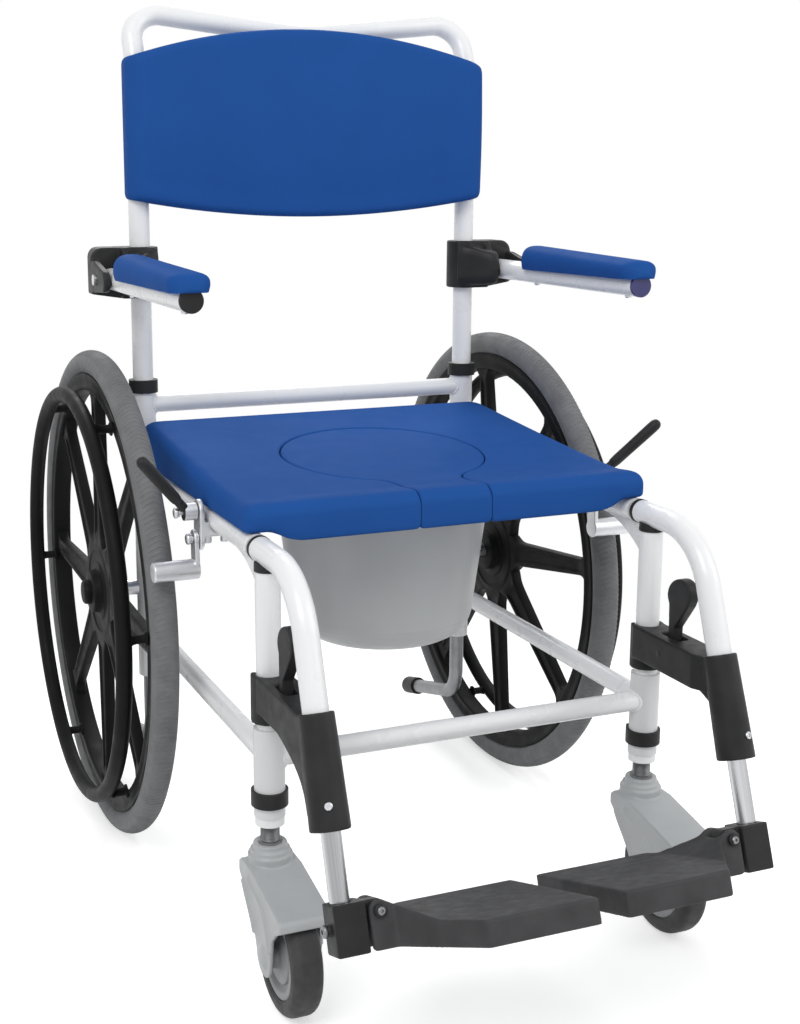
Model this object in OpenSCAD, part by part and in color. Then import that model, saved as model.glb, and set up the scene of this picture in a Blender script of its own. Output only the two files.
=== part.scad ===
// Shower commode chair with large self-propel rear wheels. All sizes are in millimetres.
// The chair faces -Y, Z is up and the floor is z = 0. The left side is at -X, as seen from the front.
// Inside the modules y = 0 is the front leg axis; chair() then centres the chair on the origin.

/* [Frame] */
// Half the distance between the two side frames
frame_half = 222; // [212:1:232]
// Distance from the front leg axis to the rear post axis
leg_to_post = 466; // [455:1:480]
// Outside diameter of the main tubes
tube_d = 25.4; // [24.5:0.1:26.5]
// Wall of the main tubes
tube_wall = 2; // [1.6:0.1:2.3]
// Height of the seat rail axes
rail_z = 460; // [454:1:470]
// Diameter of the cross tubes and the lower rails
bar_d = 22; // [19:0.5:24]
// Height of the lower rails and the front cross tube
lower_z = 249; // [240:1:258]
// Height of the rear cross tube
cross_z = 541; // [536:1:546]
// Outside diameter of the sleeve on the front leg
sleeve_d = 32; // [30:0.5:34]
// Height of the bottom of the legs and the rear posts
leg_z = 187; // [180:1:194]
// Height of the top of the leg sleeves
sleeve_z = 281; // [272:1:284]
// Outside diameter of the lower rear posts
post_d = 30; // [29:0.5:32]
// Height of the top of the lower rear posts
post_z = 566; // [560:1:572]
// Thickness of the gusset plates
gusset_t = 6; // [4:0.5:8]
// Length of the gusset plates along the seat rails
gusset_l = 66; // [50:1:90]
// Depth of the gusset plates on the front legs
gusset_h = 34; // [25:1:45]
// Radial gap between tubes that sit in each other
slip = 0.1; // [0.05:0.05:0.2]
// Radial gap of the running fits on pins and axles
run_fit = 0.05; // [0.02:0.01:0.1]

/* [Back frame] */
// Depth below the backrest's upper ends at which the uprights start to lean back
lean_down = 18; // [14:1:30]
// Lean of the upper ends of the uprights, degrees
back_lean = 24; // [15:1:30]
// Centreline radius of the lean bend
lean_r = 70; // [55:1:90]
// Straight run between the lean bend and the corner
lean_run = 12; // [6:1:20]
// Centreline radius of the top corners
corner_r = 36; // [32:1:42]
// Slope of the top tube down towards its middle, degrees
top_slope = 7; // [4:0.5:10]

/* [Backrest] */
// Overhang of the backrest past the side frames
rest_over = 16; // [15:0.5:17]
// Height of the bottom edge's ends above the arm tubes
rest_up = 94; // [80:1:105]
// Drop of the bottom edge at the middle
rest_drop = 23; // [10:1:35]
// Height of the backrest at its ends
rest_h = 166; // [156:1:176]
// Rise of the top edge at the middle
rest_rise = 40; // [25:1:50]
// Distance from the upright axis to the front of the end lobes
rest_front = 33; // [30:0.5:38]
// Hollow of the front face at the middle
rest_hollow = 11; // [4:0.5:14]
// Distance from the upright axis to the back face
rest_back = 4; // [2:0.5:6]
// Rounding of the long edges
rest_round = 9; // [6:0.5:10]
// Rounding of the end lobes in plan
lobe_r = 24; // [18:1:28]

/* [Seat] */
// Overhang of the seat past the side frames
seat_over = 13; // [10:0.5:16]
// Front face of the seat behind the front leg axis
seat_front = 30; // [29:0.5:34]
// Rear face of the seat behind the front leg axis
seat_rear = 440; // [430:1:448]
// Thickness of the seat above the rails at the rear
seat_rear_t = 52; // [46:1:56]
// Thickness of the seat above the rails behind the front lip
seat_front_t = 25; // [22:0.5:30]
// Rise of the front lip
lip_h = 3; // [1:0.5:5]
// Rounding of the front edge
front_r = 14; // [10:0.5:18]
// Rounding of the side edges
side_r = 16; // [12:0.5:20]
// Rounding of the corners in plan
plan_r = 12; // [8:1:18]
// Depth of the front apron below the rails' top
apron_h = 12; // [8:0.5:14]
// Distance from the side frames to the ends of the front apron
apron_in = 27; // [24:1:37]
// Depth of the front apron from front to back
apron_d = 26; // [18:1:40]
// Radius of the commode opening
hole_r = 120; // [110:1:122]
// Centre of the commode opening behind the front leg axis
hole_y = 227; // [220:1:236]
// Half the width of the front slot of the opening
slot_half = 42; // [36:1:48]
// Radius between the round opening and its slot
slot_r = 30; // [22:1:36]
// Width of the ledge that carries the insert
ledge = 12; // [8:1:14]
// Depth of the ledge below the seat front's top
ledge_z = 16; // [13:1:18]
// Gap around the insert
insert_gap = 0.8; // [0.5:0.1:1.2]
// Gap under a piece that rests on another
rest_gap = 0.3; // [0.2:0.1:0.5]

/* [Bucket] */
// Outside radius of the bucket under its rim
pail_r = 125; // [118:1:126]
// Outside radius of the bucket at the foot of its wall
pail_low_r = 108; // [100:1:112]
// Radius of the rim flange
rim_r = 137; // [133:1:139]
// Height of the bottom of the bucket
pail_z = 290; // [280:1:300]
// Rounding of the bottom of the bucket
pail_round = 36; // [28:1:40]
// Wall of the bucket
pail_wall = 3; // [2:0.5:4]
// Length of the pan rails
pan_l = 350; // [330:1:360]
// Wall of the pan rails
pan_t = 3; // [2:0.5:4]

/* [Armrests] */
// Distance from the side frame to the arm tube
arm_out = 42; // [41.5:0.5:45]
// Least height of the arm tubes above the rear wheels
arm_over_wheel = 90; // [80:1:102]
// Least height of the arm tubes above the rear posts
arm_over_post = 134; // [124:1:146]
// Distance from the upright axis to the arm hinge pin
arm_back = 36; // [35:1:40]
// Length of the arm tube in front of its hinge pin
arm_l = 324; // [300:1:345]
// Diameter of the arm hinge pins
arm_pin_d = 8; // [6:0.5:10]
// Length of the arm pad
pad_l = 260; // [250:1:275]
// Width of the arm pad
pad_w = 46; // [40:1:47]
// Top of the arm pad's rear end above the arm tube axis
pad_h = 35; // [32:1:37]
// Top of the arm pad's front end above the arm tube axis
pad_front_h = 28; // [26:1:30]
// Overhang of the arm pad past the arm tube
pad_over = 11; // [6:1:18]
// Height of the arm bracket
bracket_h = 62; // [50:1:66]
// Thickness of the bracket cheeks
cheek_t = 9; // [6:0.5:10]

/* [Hangers] */
// Diameter of the foot tube
foot_d = 19.2; // [18:0.1:20]
// Length of the hanger tube behind the front leg axis
hang_back = 20; // [17:0.5:21]
// Straight length of the hanger tube in front of the leg axis
hang_front = 31; // [28:0.5:36]
// Centreline radius of the hanger bend
hang_r = 80; // [72:1:86]
// Lean of the hanger's lower leg from upright, degrees
hang_lean = 20; // [18:0.5:22]
// Straight length of the hanger's lower leg
hang_l = 173; // [166:1:180]
// Length of the black sleeve on the hanger's lower leg
grip_l = 103; // [97:1:109]
// Diameter of the sleeve at its upper end
grip_d = 34.5; // [33:0.5:37]
// Diameter of the sleeve at its lower end
grip_low_d = 39; // [37:0.5:41]
// Width of the latch arm
latch_w = 32; // [28:1:34]
// Height of the underside of the latch arm
latch_z = 288; // [286:1:292]
// Height of the latch arm's clasp on the leg
latch_h = 50; // [46:1:54]
// Rise of the latch arm's underside above the clasp's
latch_rise = 13; // [10:0.5:15]
// Reach of the latch arm's inner face from the side frame
latch_in = 20; // [18:0.5:22]
// Radial gap between the latch arm and the leg
latch_gap = 0.5; // [0.4:0.1:0.8]
// Distance from the leg axis to the release lever's pin
release_y = 52; // [48:1:58]
// Length of the release lever above its pin
release_l = 85; // [76:1:88]
// Width of the release lever
release_w = 13; // [10:0.5:15]

/* [Foot supports] */
// Length of foot tube between the sleeve and the foot block
foot_show = 67; // [60:1:74]
// Length of foot tube inside the hanger
foot_in = 80; // [75:1:86]
// Distance from the foot tube's axis to the inner face of the foot block
block_in = 18.5; // [17:0.5:20]
// Distance from the foot tube's axis to the outer face of the foot block
block_out = 13; // [12:0.5:15]
// Height of the foot block along the foot tube
block_h = 46; // [40:1:50]
// Depth of the foot block
block_d = 30; // [28:1:34]
// Distance from the side frame to the footplate's hinge
hinge_in = 31; // [30:0.5:34]
// Depth of the footplate's hinge below the top of the block
hinge_a = 11; // [10:0.5:14]
// Radius of the footplate's hinge lugs
lug_r = 10; // [8:0.5:10]
// Diameter of the footplate's hinge pin
hinge_d = 8; // [6:0.5:9]
// Gap between the inner edges of the two footplates
plate_gap = 28; // [20:1:40]
// Depth of the footplate's top below the top of the block
plate_a = 22; // [20:0.5:26]
// Thickness of the footplate
plate_t = 24; // [16:0.5:26]
// Footplate length in front of the foot tube axis
plate_front = 99; // [90:1:110]
// Footplate length behind the foot tube axis
plate_rear = 71; // [60:1:76]

/* [Castors] */
// Radius of the castor wheel
castor_r = 62.5; // [58:0.5:64]
// Width of the castor tyre
castor_w = 32; // [28:1:36]
// Distance from the swivel axis to the castor axle
trail = 54; // [50:1:58]
// Width of the castor fork
fork_w = 55; // [50:1:58]
// Wall of the castor fork
fork_t = 4; // [3:0.5:5]
// Height of the top of the castor housing
castor_z = 158; // [154:0.5:162]
// Diameter of the visible castor stem
stem_d = 20; // [18:0.5:21]
// Diameter of the castor stem inside the leg
pintle_d = 16; // [14:0.5:17]
// Diameter of the castor axle
castor_axle_d = 8; // [6:0.5:10]

/* [Rear wheels] */
// Outside radius of the rear wheels
wheel_r = 305; // [300:1:308]
// Distance from the side frame to the rear wheel's middle plane
wheel_out = 58; // [57:0.5:62]
// Radius of the tyre's round section
tyre_r = 16; // [14:0.5:17]
// Depth from the tread to the inner edge of the rim
rim_depth = 50; // [47:1:55]
// Width of the rim
rim_w = 24; // [20:1:26]
// Count of the spokes
spokes = 8; // [5:1:10]
// Width of a spoke at the hub
spoke_w = 34; // [26:1:38]
// Width of a spoke at the rim
spoke_end_w = 20; // [14:1:26]
// Thickness of the spokes
spoke_t = 14; // [10:1:18]
// Radius of the hub flange
hub_r = 60; // [50:1:66]
// Length of the hub
hub_l = 38; // [32:1:44]
// Turn of the right wheel at rest, degrees
wheel_turn = -8; // [-22:1:22]
// Diameter of the rear axle
axle_d = 12; // [10:0.5:14]
// Distance from the wheel's middle plane to the handrim
handrim_out = 37; // [34:0.5:40]
// Distance from the tread to the handrim's centreline
handrim_in = 53; // [49:1:59]
// Diameter of the handrim tube
handrim_d = 19; // [16:0.5:20]
// Count of the handrim lugs
lugs = 6; // [4:1:8]

/* [Brakes] */
// Distance from the front of the rear wheels back to the brake pins
brake_in = 2; // [0:0.5:7]
// Height of the brake lever's pin above the rail axis
lever_up = 10; // [6:0.5:12]
// Depth of the brake shoe's pin below the rail axis
shoe_pin_down = 20; // [18:0.5:24]
// Depth of the brake shoe below the rail axis
shoe_down = 53; // [48:0.5:56]
// Diameter of the brake shoe
shoe_d = 22; // [18:0.5:24]
// Gap between the brake shoe and the tyre
shoe_gap = 6; // [5:0.5:8]
// Diameter of the brake pins
brake_pin_d = 6; // [5:0.5:8]
// Thickness of the brake's steel plates
brake_t = 5; // [4:0.5:6]
// Diameter of the brake lever
lever_d = 10; // [8:0.5:12]
// Reach of the brake lever to the side
lever_x = 58; // [50:1:64]
// Reach of the brake lever to the front
lever_y = 32; // [20:1:40]
// Reach of the brake lever upwards
lever_h = 66; // [55:1:75]

/* [Tipping levers] */
// Diameter of the tipping levers
tip_d = 19; // [16:0.5:22]
// Straight drop of the tipping levers below the posts
tip_drop = 55; // [45:1:60]
// Centreline radius of the tipping levers' bend
tip_r = 40; // [32:1:48]
// Turn of the tipping levers' bend, degrees
tip_turn = 75; // [65:1:80]
// Straight rear length of the tipping levers
tip_l = 128; // [110:1:140]

/* [Hidden] */
$fn = 48;
white = [0.90, 0.91, 0.92];
blue = [0.13, 0.30, 0.60];
black = [0.10, 0.10, 0.11];
grey = [0.62, 0.64, 0.66];
dark_grey = [0.36, 0.37, 0.38];
silver = [0.72, 0.73, 0.75];
// Small cuts run past a face by this much
over = 1;
tube_r = tube_d / 2;
seat_half = frame_half + seat_over;
apron_half = frame_half - apron_in;
rest_half = frame_half + rest_over;
arm_z = max(2 * wheel_r + arm_over_wheel, post_z + arm_over_post);
rest_low = arm_z + rest_up;
rest_high = rest_low + rest_h;
lean_z = rest_high - lean_down;
rim_in_r = wheel_r - rim_depth;
handrim_r = wheel_r - handrim_in;
brake_y = leg_to_post - wheel_r + brake_in;
tube_bore = tube_d - 2 * tube_wall;
// Top of the front legs, with the hanger's pivot bush above them
bush_t = 4.3;
leg_top = rail_z - tube_r - bush_t;
rail_front = seat_front - 0.5;
seat_z = rail_z + tube_r + rest_gap;
foot_bore = foot_d + 2 * run_fit;
// Bend end of the hanger and the top of the foot block, both in the hanger's plane
bend_a = 90 - hang_lean;
bend_y = -hang_front - hang_r * sin(bend_a);
bend_z = rail_z - hang_r * (1 - cos(bend_a));
foot_s = hang_l + foot_show;
foot_y = bend_y - foot_s * sin(hang_lean);
foot_z = bend_z - foot_s * cos(hang_lean);
block_rear = 13;
// Front tip of the footplates and rear of the wheels, which set the chair's middle
tip_y = foot_y - (plate_a + plate_t) * sin(hang_lean) - plate_front * cos(hang_lean);
wheel_y = leg_to_post;
leg_y = -(wheel_y + wheel_r + tip_y) / 2;
wheel_x = frame_half + wheel_out;
tyre_c = wheel_r - tyre_r;
arm_x = frame_half + arm_out;
arm_y = leg_to_post - arm_back;
pan_z = seat_z - 2 * pan_t - 12;
shoe_z = rail_z - shoe_down;
shoe_y = wheel_y - sqrt(pow(wheel_r + shoe_gap + shoe_d / 2, 2) - pow(shoe_z - wheel_r, 2));

// Helpers

// Moves the chair so that its middle stands on the origin
module chair() {
  translate([0, leg_y, 0]) children();
}

// A piece made for the right side, and its mirror image on the left
module both() {
  children();
  mirror([1, 0, 0]) children();
}

// A piece made for the right side, put on the side asked for
module on_side(right) {
  if (right) children();
  else mirror([1, 0, 0]) children();
}

module pipe(d, bore, h) {
  difference() {
    cylinder(d = d, h = h);
    translate([0, 0, -over]) cylinder(d = bore, h = h + 2 * over);
  }
}

// A cylinder along X between two places
module bar_x(d, x0, x1) {
  translate([x0, 0, 0]) rotate([0, 90, 0]) cylinder(d = d, h = x1 - x0);
}

// A cylinder along Y between two places
module bar_y(d, y0, y1) {
  translate([0, y0, 0]) rotate([-90, 0, 0]) cylinder(d = d, h = y1 - y0);
}

// A block from its lowest to its highest corner
module block(low, high) {
  translate(low) cube(high - low);
}

// A flat outline in Y and Z, thickened along X from x0 to x1
module slab_x(x0, x1) {
  translate([x0, 0, 0]) rotate([90, 0, 90]) linear_extrude(x1 - x0) children();
}

// A round bar from p to q with a domed end
module rod(p, q, d) {
  v = q - p;
  translate(p) rotate([0, acos(v[2] / norm(v)), atan2(v[1], v[0])]) rotate_extrude()
    polygon(concat([[0, 0], [d / 2, 0]], arc([0, norm(v) - d / 2], d / 2, 0, 90, 8)));
}

// Bends are a hair thinner than the straight runs, which reach into them by the seam's length
seam = 0.1;
seam_l = 1;

// A bar that starts at the origin along +Z; each step is [straight length, roll, turn, bend radius].
// past is the length by which the bar's two ends run on
module bent_bar(d, steps, past = 0, i = 0) {
  if (i < len(steps)) {
    run = steps[i][0];
    turn = steps[i][2];
    bend = steps[i][3];
    start = i == 0 ? past : seam_l;
    stop = turn > 0 ? seam_l : past;
    translate([0, 0, -start]) cylinder(d = d, h = start + run + stop);
    translate([0, 0, run]) rotate([0, 0, steps[i][1]]) {
      if (turn > 0)
        translate([bend, 0, 0]) rotate([90, 0, 180]) rotate_extrude(angle = turn) translate([bend, 0])
          circle(d = d - 2 * seam);
      translate([bend * (1 - cos(turn)), 0, bend * sin(turn)]) rotate([0, turn, 0])
        bent_bar(d, steps, past, i + 1);
    }
  }
}

module bent_tube(d, bore, steps) {
  difference() {
    bent_bar(d, steps);
    bent_bar(bore, steps, over);
  }
}

// A rectangle with round corners, centred
module round_rect(w, h, r) {
  square([w - 2 * r, h], center = true);
  square([w, h - 2 * r], center = true);
  for (x = [-1, 1], y = [-1, 1])
    translate([x * (w / 2 - r), y * (h / 2 - r)]) circle(r);
}

function arc(c, r, a0, a1, n) = [for (i = [0 : n]) c + r * [cos(a0 + (a1 - a0) * i / n),
  sin(a0 + (a1 - a0) * i / n)]];

// Frame

module front_legs() {
  color(white) chair() both() translate([frame_half, 0, leg_z]) pipe(tube_d, tube_bore, leg_top - leg_z);
}

module leg_sleeves() {
  color(white) chair() both() translate([frame_half, 0, leg_z]) pipe(sleeve_d, tube_d + 2 * slip,
    sleeve_z - leg_z);
}

// Height of the band clamps on the leg sleeves and of the clamps on the rear posts
band_z = 12;
band_h = 16;
band_t = 3;

module collars() {
  color(black) chair() both() {
    translate([frame_half, 0, leg_z + band_z]) {
      pipe(sleeve_d + 2 * (band_t + slip), sleeve_d + 2 * slip, band_h);
      difference() {
        block([-6, 0, 3], [6, sleeve_d / 2 + 9, band_h - 3]);
        translate([0, 0, -over]) cylinder(d = sleeve_d + 2 * slip, h = band_h + 2 * over);
      }
    }
    translate([frame_half, leg_to_post, post_z - band_h * 0.6]) difference() {
      cylinder(d = post_d + 2 * (band_t + slip), h = band_h);
      translate([0, 0, -over]) cylinder(d = tube_d + 2 * slip, h = band_h + 2 * over);
      translate([0, 0, -over]) cylinder(d = post_d + 2 * slip, h = band_h * 0.6 + over + slip);
    }
  }
}

// Bushes that close the legs and carry the castor stems
foot_bush_h = 9;
foot_bush_in = 28;

module leg_bushes() {
  color(white) chair() both() translate([frame_half, 0, leg_z - foot_bush_h]) difference() {
    union() {
      cylinder(d = sleeve_d - 2, h = foot_bush_h);
      cylinder(d = tube_bore - 2 * slip, h = foot_bush_h + foot_bush_in);
    }
    translate([0, 0, -over]) cylinder(d = pintle_d + 2 * run_fit,
      h = foot_bush_h + foot_bush_in + 2 * over);
  }
}

module rear_posts() {
  color(white) chair() both() translate([frame_half, leg_to_post, 0]) difference() {
    translate([0, 0, leg_z]) pipe(post_d, tube_d + 2 * slip, post_z - leg_z);
    translate([0, 0, wheel_r]) bar_x(axle_d + 2 * slip, -post_d, post_d);
  }
}

// The uprights stand in the rear posts, lean back above the backrest and join in one push bar
upright_in = 60;
// Radius of the bends that level the push bar, and half the level length at its middle
push_r = 120;
push_half = 8;
push_run = (frame_half - push_half - corner_r * (1 + sin(top_slope)) - push_r * sin(top_slope))
  / cos(top_slope);
// Rise of the push bar's middle along the leaning ends of the uprights
push_up = lean_run + corner_r * cos(top_slope) - push_run * sin(top_slope) - push_r * (1 - cos(top_slope));

module back_bar(d, past) {
  both() translate([frame_half, leg_to_post, post_z - upright_in]) rotate([0, 0, 90]) bent_bar(d, [
    [lean_z - post_z + upright_in, 0, back_lean, lean_r],
    [lean_run, 90, 90 + top_slope, corner_r],
    [push_run, 180, top_slope, push_r]], past);
  translate([0, leg_to_post + lean_r * (1 - cos(back_lean)) + push_up * sin(back_lean),
    lean_z + lean_r * sin(back_lean) + push_up * cos(back_lean)]) bar_x(d, -push_half - seam_l,
      push_half + seam_l);
}

module back_frame() {
  color(white) chair() difference() {
    back_bar(tube_d, 0);
    back_bar(tube_bore, over);
  }
}

module seat_rails() {
  color(white) chair() both() translate([frame_half, 0, rail_z]) difference() {
    bar_y(tube_d, rail_front, leg_to_post);
    bar_y(tube_bore, rail_front + tube_wall, leg_to_post + over);
    translate([0, leg_to_post, -tube_d]) cylinder(d = post_d, h = 2 * tube_d);
  }
}

module lower_rails() {
  color(white) chair() both() translate([frame_half, 0, lower_z]) difference() {
    bar_y(bar_d, 0, leg_to_post);
    bar_y(bar_d - 2 * tube_wall, -over, leg_to_post + over);
    translate([0, 0, -bar_d]) cylinder(d = sleeve_d, h = 2 * bar_d);
    translate([0, leg_to_post, -bar_d]) cylinder(d = post_d, h = 2 * bar_d);
  }
}

// A tube across the chair, shaped at its ends to the uprights that it meets
module cross_tube(z, upright_d) {
  translate([0, 0, z]) difference() {
    bar_x(bar_d, -frame_half, frame_half);
    bar_x(bar_d - 2 * tube_wall, -frame_half - over, frame_half + over);
    both() translate([frame_half, 0, -bar_d]) cylinder(d = upright_d, h = 2 * bar_d);
  }
}

module front_cross_tube() {
  color(white) chair() cross_tube(lower_z, sleeve_d);
}

module rear_cross_tube() {
  color(white) chair() translate([0, leg_to_post, 0]) cross_tube(cross_z, post_d);
}

// Plates that join the top of each front leg to its seat rail, with a hollow lower edge
module gussets() {
  end_y = rail_front + gusset_l;
  under = rail_z - tube_r;
  edge = [for (i = [0 : 8]) [end_y - (end_y - tube_r) * i / 8, under - 1 - (gusset_h - 1) * pow(i / 8, 2)]];
  color(white) chair() both() difference() {
    slab_x(frame_half - gusset_t / 2, frame_half + gusset_t / 2)
      polygon(concat([[0, under - gusset_h], [0, leg_top - 2], [rail_front, leg_top - 2], [rail_front,
        rail_z],
        [end_y, rail_z]], edge));
    translate([frame_half, 0, leg_top - 2 * gusset_h]) cylinder(d = tube_d, h = 3 * gusset_h);
    translate([frame_half, 0, rail_z]) bar_y(tube_d, 0, end_y + over);
  }
}

// Backrest: a lofted pad whose section is worked out at each station from end to end

rest_stations = 30;
ridge = rest_half - lobe_r;

function end_inset(x, r) = let (d = rest_half - abs(x)) d < r ? r - sqrt(r * r - pow(r - d, 2)) : 0;
function rest_arch(x) = 1 - pow(x / rest_half, 2);
function rest_face(x) = leg_to_post - rest_front + rest_hollow * max(0, 1 - pow(x / ridge, 2))
  + end_inset(x, lobe_r);
function rest_top(x) = rest_high + rest_rise * rest_arch(x) - end_inset(x, rest_round);
function rest_bottom(x) = rest_low - rest_drop * rest_arch(x) + end_inset(x, rest_round);

// Closed section in Y and Z, round at the front edges and slightly round at the back ones
function rest_section(y0, y1, z0, z1, r, r2) = concat(
  arc([y0 + r, z0 + r], r, 270, 180, 5), arc([y0 + r, z1 - r], r, 180, 90, 5),
  arc([y1 - r2, z1 - r2], r2, 90, 0, 2), arc([y1 - r2, z0 + r2], r2, 360, 270, 2));

function rest_ring(x) = [for (q = rest_section(rest_face(x), leg_to_post + rest_back, rest_bottom(x),
  rest_top(x),
  min(rest_round, (leg_to_post + rest_back - rest_face(x)) * 0.6), 3)) [x, q[0], q[1]]];

// Triangles over rings of m points, one ring after another, and fans on the two ends
function loft_faces(n, m) = concat(
  [for (i = [0 : n - 2], j = [0 : m - 1]) [i * m + j, (i + 1) * m + j, (i + 1) * m + (j + 1) % m]],
  [for (i = [0 : n - 2], j = [0 : m - 1]) [i * m + j, (i + 1) * m + (j + 1) % m, i * m + (j + 1) % m]],
  [for (j = [1 : m - 2]) [0, j, j + 1]],
  [for (j = [1 : m - 2]) [(n - 1) * m, (n - 1) * m + j + 1, (n - 1) * m + j]]);

module backrest() {
  rings = [for (i = [0 : rest_stations]) rest_ring(-rest_half * cos(180 * i / rest_stations))];
  color(blue) chair() difference() {
    polyhedron([for (ring = rings, point = ring) point], loft_faces(len(rings), len(rings[0])));
    both() translate([frame_half, leg_to_post, rest_low - 2 * rest_drop - over]) {
      cylinder(d = tube_d + 2 * rest_gap, h = 2 * (rest_high - rest_low));
      block([-tube_r - rest_gap, 0, 0], [tube_r + rest_gap, tube_d, 2 * (rest_high - rest_low)]);
    }
  }
}

// Seat

seat_top = seat_z + seat_front_t;
seat_l = seat_rear - seat_front;
rear_r = 10;
crown = 4;
seat_slope = atan((seat_rear_t - seat_front_t) / seat_l);

// The outlines from the side and the front run past the outline in plan, which trims them
trim = 2;

// Outline of the seat from the side: rolled front edge, lip, hollow top that rises to the rear
function seat_side() = concat(
  [[seat_front - trim, seat_z]],
  arc([seat_front - trim + front_r, seat_top + lip_h - front_r], front_r, 180, 90, 6),
  [for (i = [0 : 12]) [seat_front + 3 * front_r + (seat_l - 3 * front_r - rear_r) * i / 12,
    seat_top + (seat_rear_t - seat_front_t) * pow(i / 12, 1.2)]],
  arc([seat_rear + trim - rear_r, seat_z + seat_rear_t - rear_r], rear_r, 80, 0, 5),
  [[seat_rear + trim, seat_z]]);

// Outline of the seat from the front: round side edges and a slight crown
function seat_across() = concat(
  [[-seat_half - trim, -seat_rear_t - seat_front_t], [seat_half + trim, -seat_rear_t - seat_front_t]],
  arc([seat_half + trim - side_r, lip_h - side_r], side_r, 0, 85, 6), [[0, lip_h + crown]],
  arc([side_r - seat_half - trim, lip_h - side_r], side_r, 95, 180, 6));

module seat_form() {
  intersection() {
    slab_x(-seat_half - 2 * trim, seat_half + 2 * trim) polygon(seat_side());
    translate([0, seat_front - front_r, seat_top]) rotate([90 + seat_slope, 0, 0])
      translate([0, 0, -2 * seat_l]) linear_extrude(2 * seat_l) polygon(seat_across());
    translate([0, seat_front + seat_l / 2, seat_z - over]) linear_extrude(2 * seat_rear_t)
      round_rect(2 * seat_half, seat_l, plan_r);
  }
  block([-apron_half, seat_front, seat_z - apron_h], [apron_half, seat_front + apron_d, seat_z + over]);
}

// Keyhole outline: a round hole, a slot to the front and round corners between them, less a gap all round
module keyhole(gap) {
  corner = [slot_half + slot_r, hole_y - sqrt(pow(hole_r + slot_r, 2) - pow(slot_half + slot_r, 2))];
  turn = atan2(corner[1] - hole_y, corner[0]);
  polygon(concat([[slot_half - gap, seat_front - 2 * over]],
    arc(corner, slot_r + gap, 180, 180 + turn, 6),
    arc([0, hole_y], hole_r - gap, turn, 180 - turn, 60),
    arc([-corner[0], corner[1]], slot_r + gap, -turn, 0, 6),
    [[gap - slot_half, seat_front - 2 * over]]));
}

module slot(gap) {
  translate([gap - slot_half, seat_front - over]) square([2 * (slot_half - gap), hole_y - seat_front]);
}

// The opening narrows at a ledge, which carries the insert; its slot runs straight through
module opening(gap, drop) {
  translate([0, 0, seat_top - ledge_z + drop]) linear_extrude(2 * seat_rear_t) keyhole(gap);
  translate([0, 0, seat_z - 2 * apron_h]) linear_extrude(2 * seat_rear_t) {
    translate([0, hole_y]) circle(hole_r - ledge - gap);
    slot(gap);
  }
}

module seat_pad() {
  color(blue) chair() difference() {
    seat_form();
    opening(0, 0);
  }
}

module seat_insert() {
  color(blue) chair() intersection() {
    seat_form();
    opening(insert_gap, rest_gap);
  }
}

// Channels under the seat, in which the bucket's rim slides
pan_in = 12;
pan_front = hole_y - rim_r - 6;

module pan_rails() {
  web = rim_r + 2;
  color(white) chair() both() difference() {
    block([pail_r + 3, pan_front, pan_z], [web + pan_t, pan_front + pan_l, seat_z]);
    block([0, pan_front + pan_t, pan_z + pan_t], [web, pan_front + pan_l + over, pan_z + pan_t + pan_in]);
  }
}

module bucket() {
  rim_z = pan_z + pan_t + rest_gap;
  turn_in = pail_low_r - pail_round;
  outer = concat([[0, pail_z]], arc([turn_in, pail_z + pail_round], pail_round, 270, 360, 8),
    [[pail_r, rim_z], [rim_r, rim_z], [rim_r, rim_z + pail_wall], [pail_r - pail_wall, rim_z + pail_wall]]);
  inner = concat(arc([turn_in, pail_z + pail_round], pail_round - pail_wall, 360, 270, 8), [[0,
    pail_z + pail_wall]]);
  color(grey) chair() translate([0, hole_y, 0]) rotate_extrude($fn = 96) polygon(concat(outer, inner));
}

// Armrests

arm_end = 15;
cheek_gap = 1;
plug_t = 4;
arm_front = arm_y - arm_l;

module arm_tube(right) {
  color(white) chair() on_side(right) translate([arm_x, 0, arm_z]) difference() {
    bar_y(tube_d, arm_front, arm_y + arm_end);
    bar_y(tube_bore, arm_front - over, arm_y + arm_end + over);
    translate([0, arm_y, 0]) bar_x(arm_pin_d + 2 * run_fit, -tube_d, tube_d);
  }
}

module arm_plug(right) {
  color(black) chair() on_side(right) translate([arm_x, arm_front, arm_z]) {
    bar_y(tube_d + 2 * slip, -plug_t, 0);
    bar_y(tube_bore - 2 * slip, -over, 3 * plug_t);
  }
}

// Pad with a domed top that falls to the front, round ends and sides that draw in towards the tube
module arm_pad(right) {
  front = arm_front - pad_over;
  low = 5;
  top_r = 15;
  end_r = 20;
  side = concat([[front + 4, low]], arc([front + end_r, pad_front_h - end_r], end_r, 180, 90, 6),
    arc([front + pad_l - end_r, pad_h - end_r], end_r, 90, 0, 6), [[front + pad_l - 4, low]]);
  across = concat([[-pad_w / 2 + 5, low], [pad_w / 2 - 5, low], [pad_w / 2, low + 8]],
    arc([pad_w / 2 - top_r, pad_h - top_r - 2], top_r, 0, 80, 5), [[0, pad_h]],
    arc([top_r - pad_w / 2, pad_h - top_r - 2], top_r, 100, 180, 5), [[-pad_w / 2, low + 8]]);
  color(blue) chair() on_side(right) translate([arm_x, 0, arm_z]) difference() {
    intersection() {
      slab_x(-pad_w / 2, pad_w / 2) polygon(side);
      translate([0, front + pad_l, 0]) rotate([90, 0, 0]) linear_extrude(pad_l) polygon(across);
      translate([0, front + pad_l / 2, 0]) linear_extrude(2 * pad_h) round_rect(pad_w, pad_l, 14);
    }
    bar_y(tube_d + 4 * slip, arm_front - plug_t - over, arm_y);
  }
}

// Clamp blocks on the uprights, each with two cheeks that hold the arm's hinge pin
bracket_low = 25;
bracket_half = 22;
// Half the height of the outer cheeks at the rear
cheek_h = 19;

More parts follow.
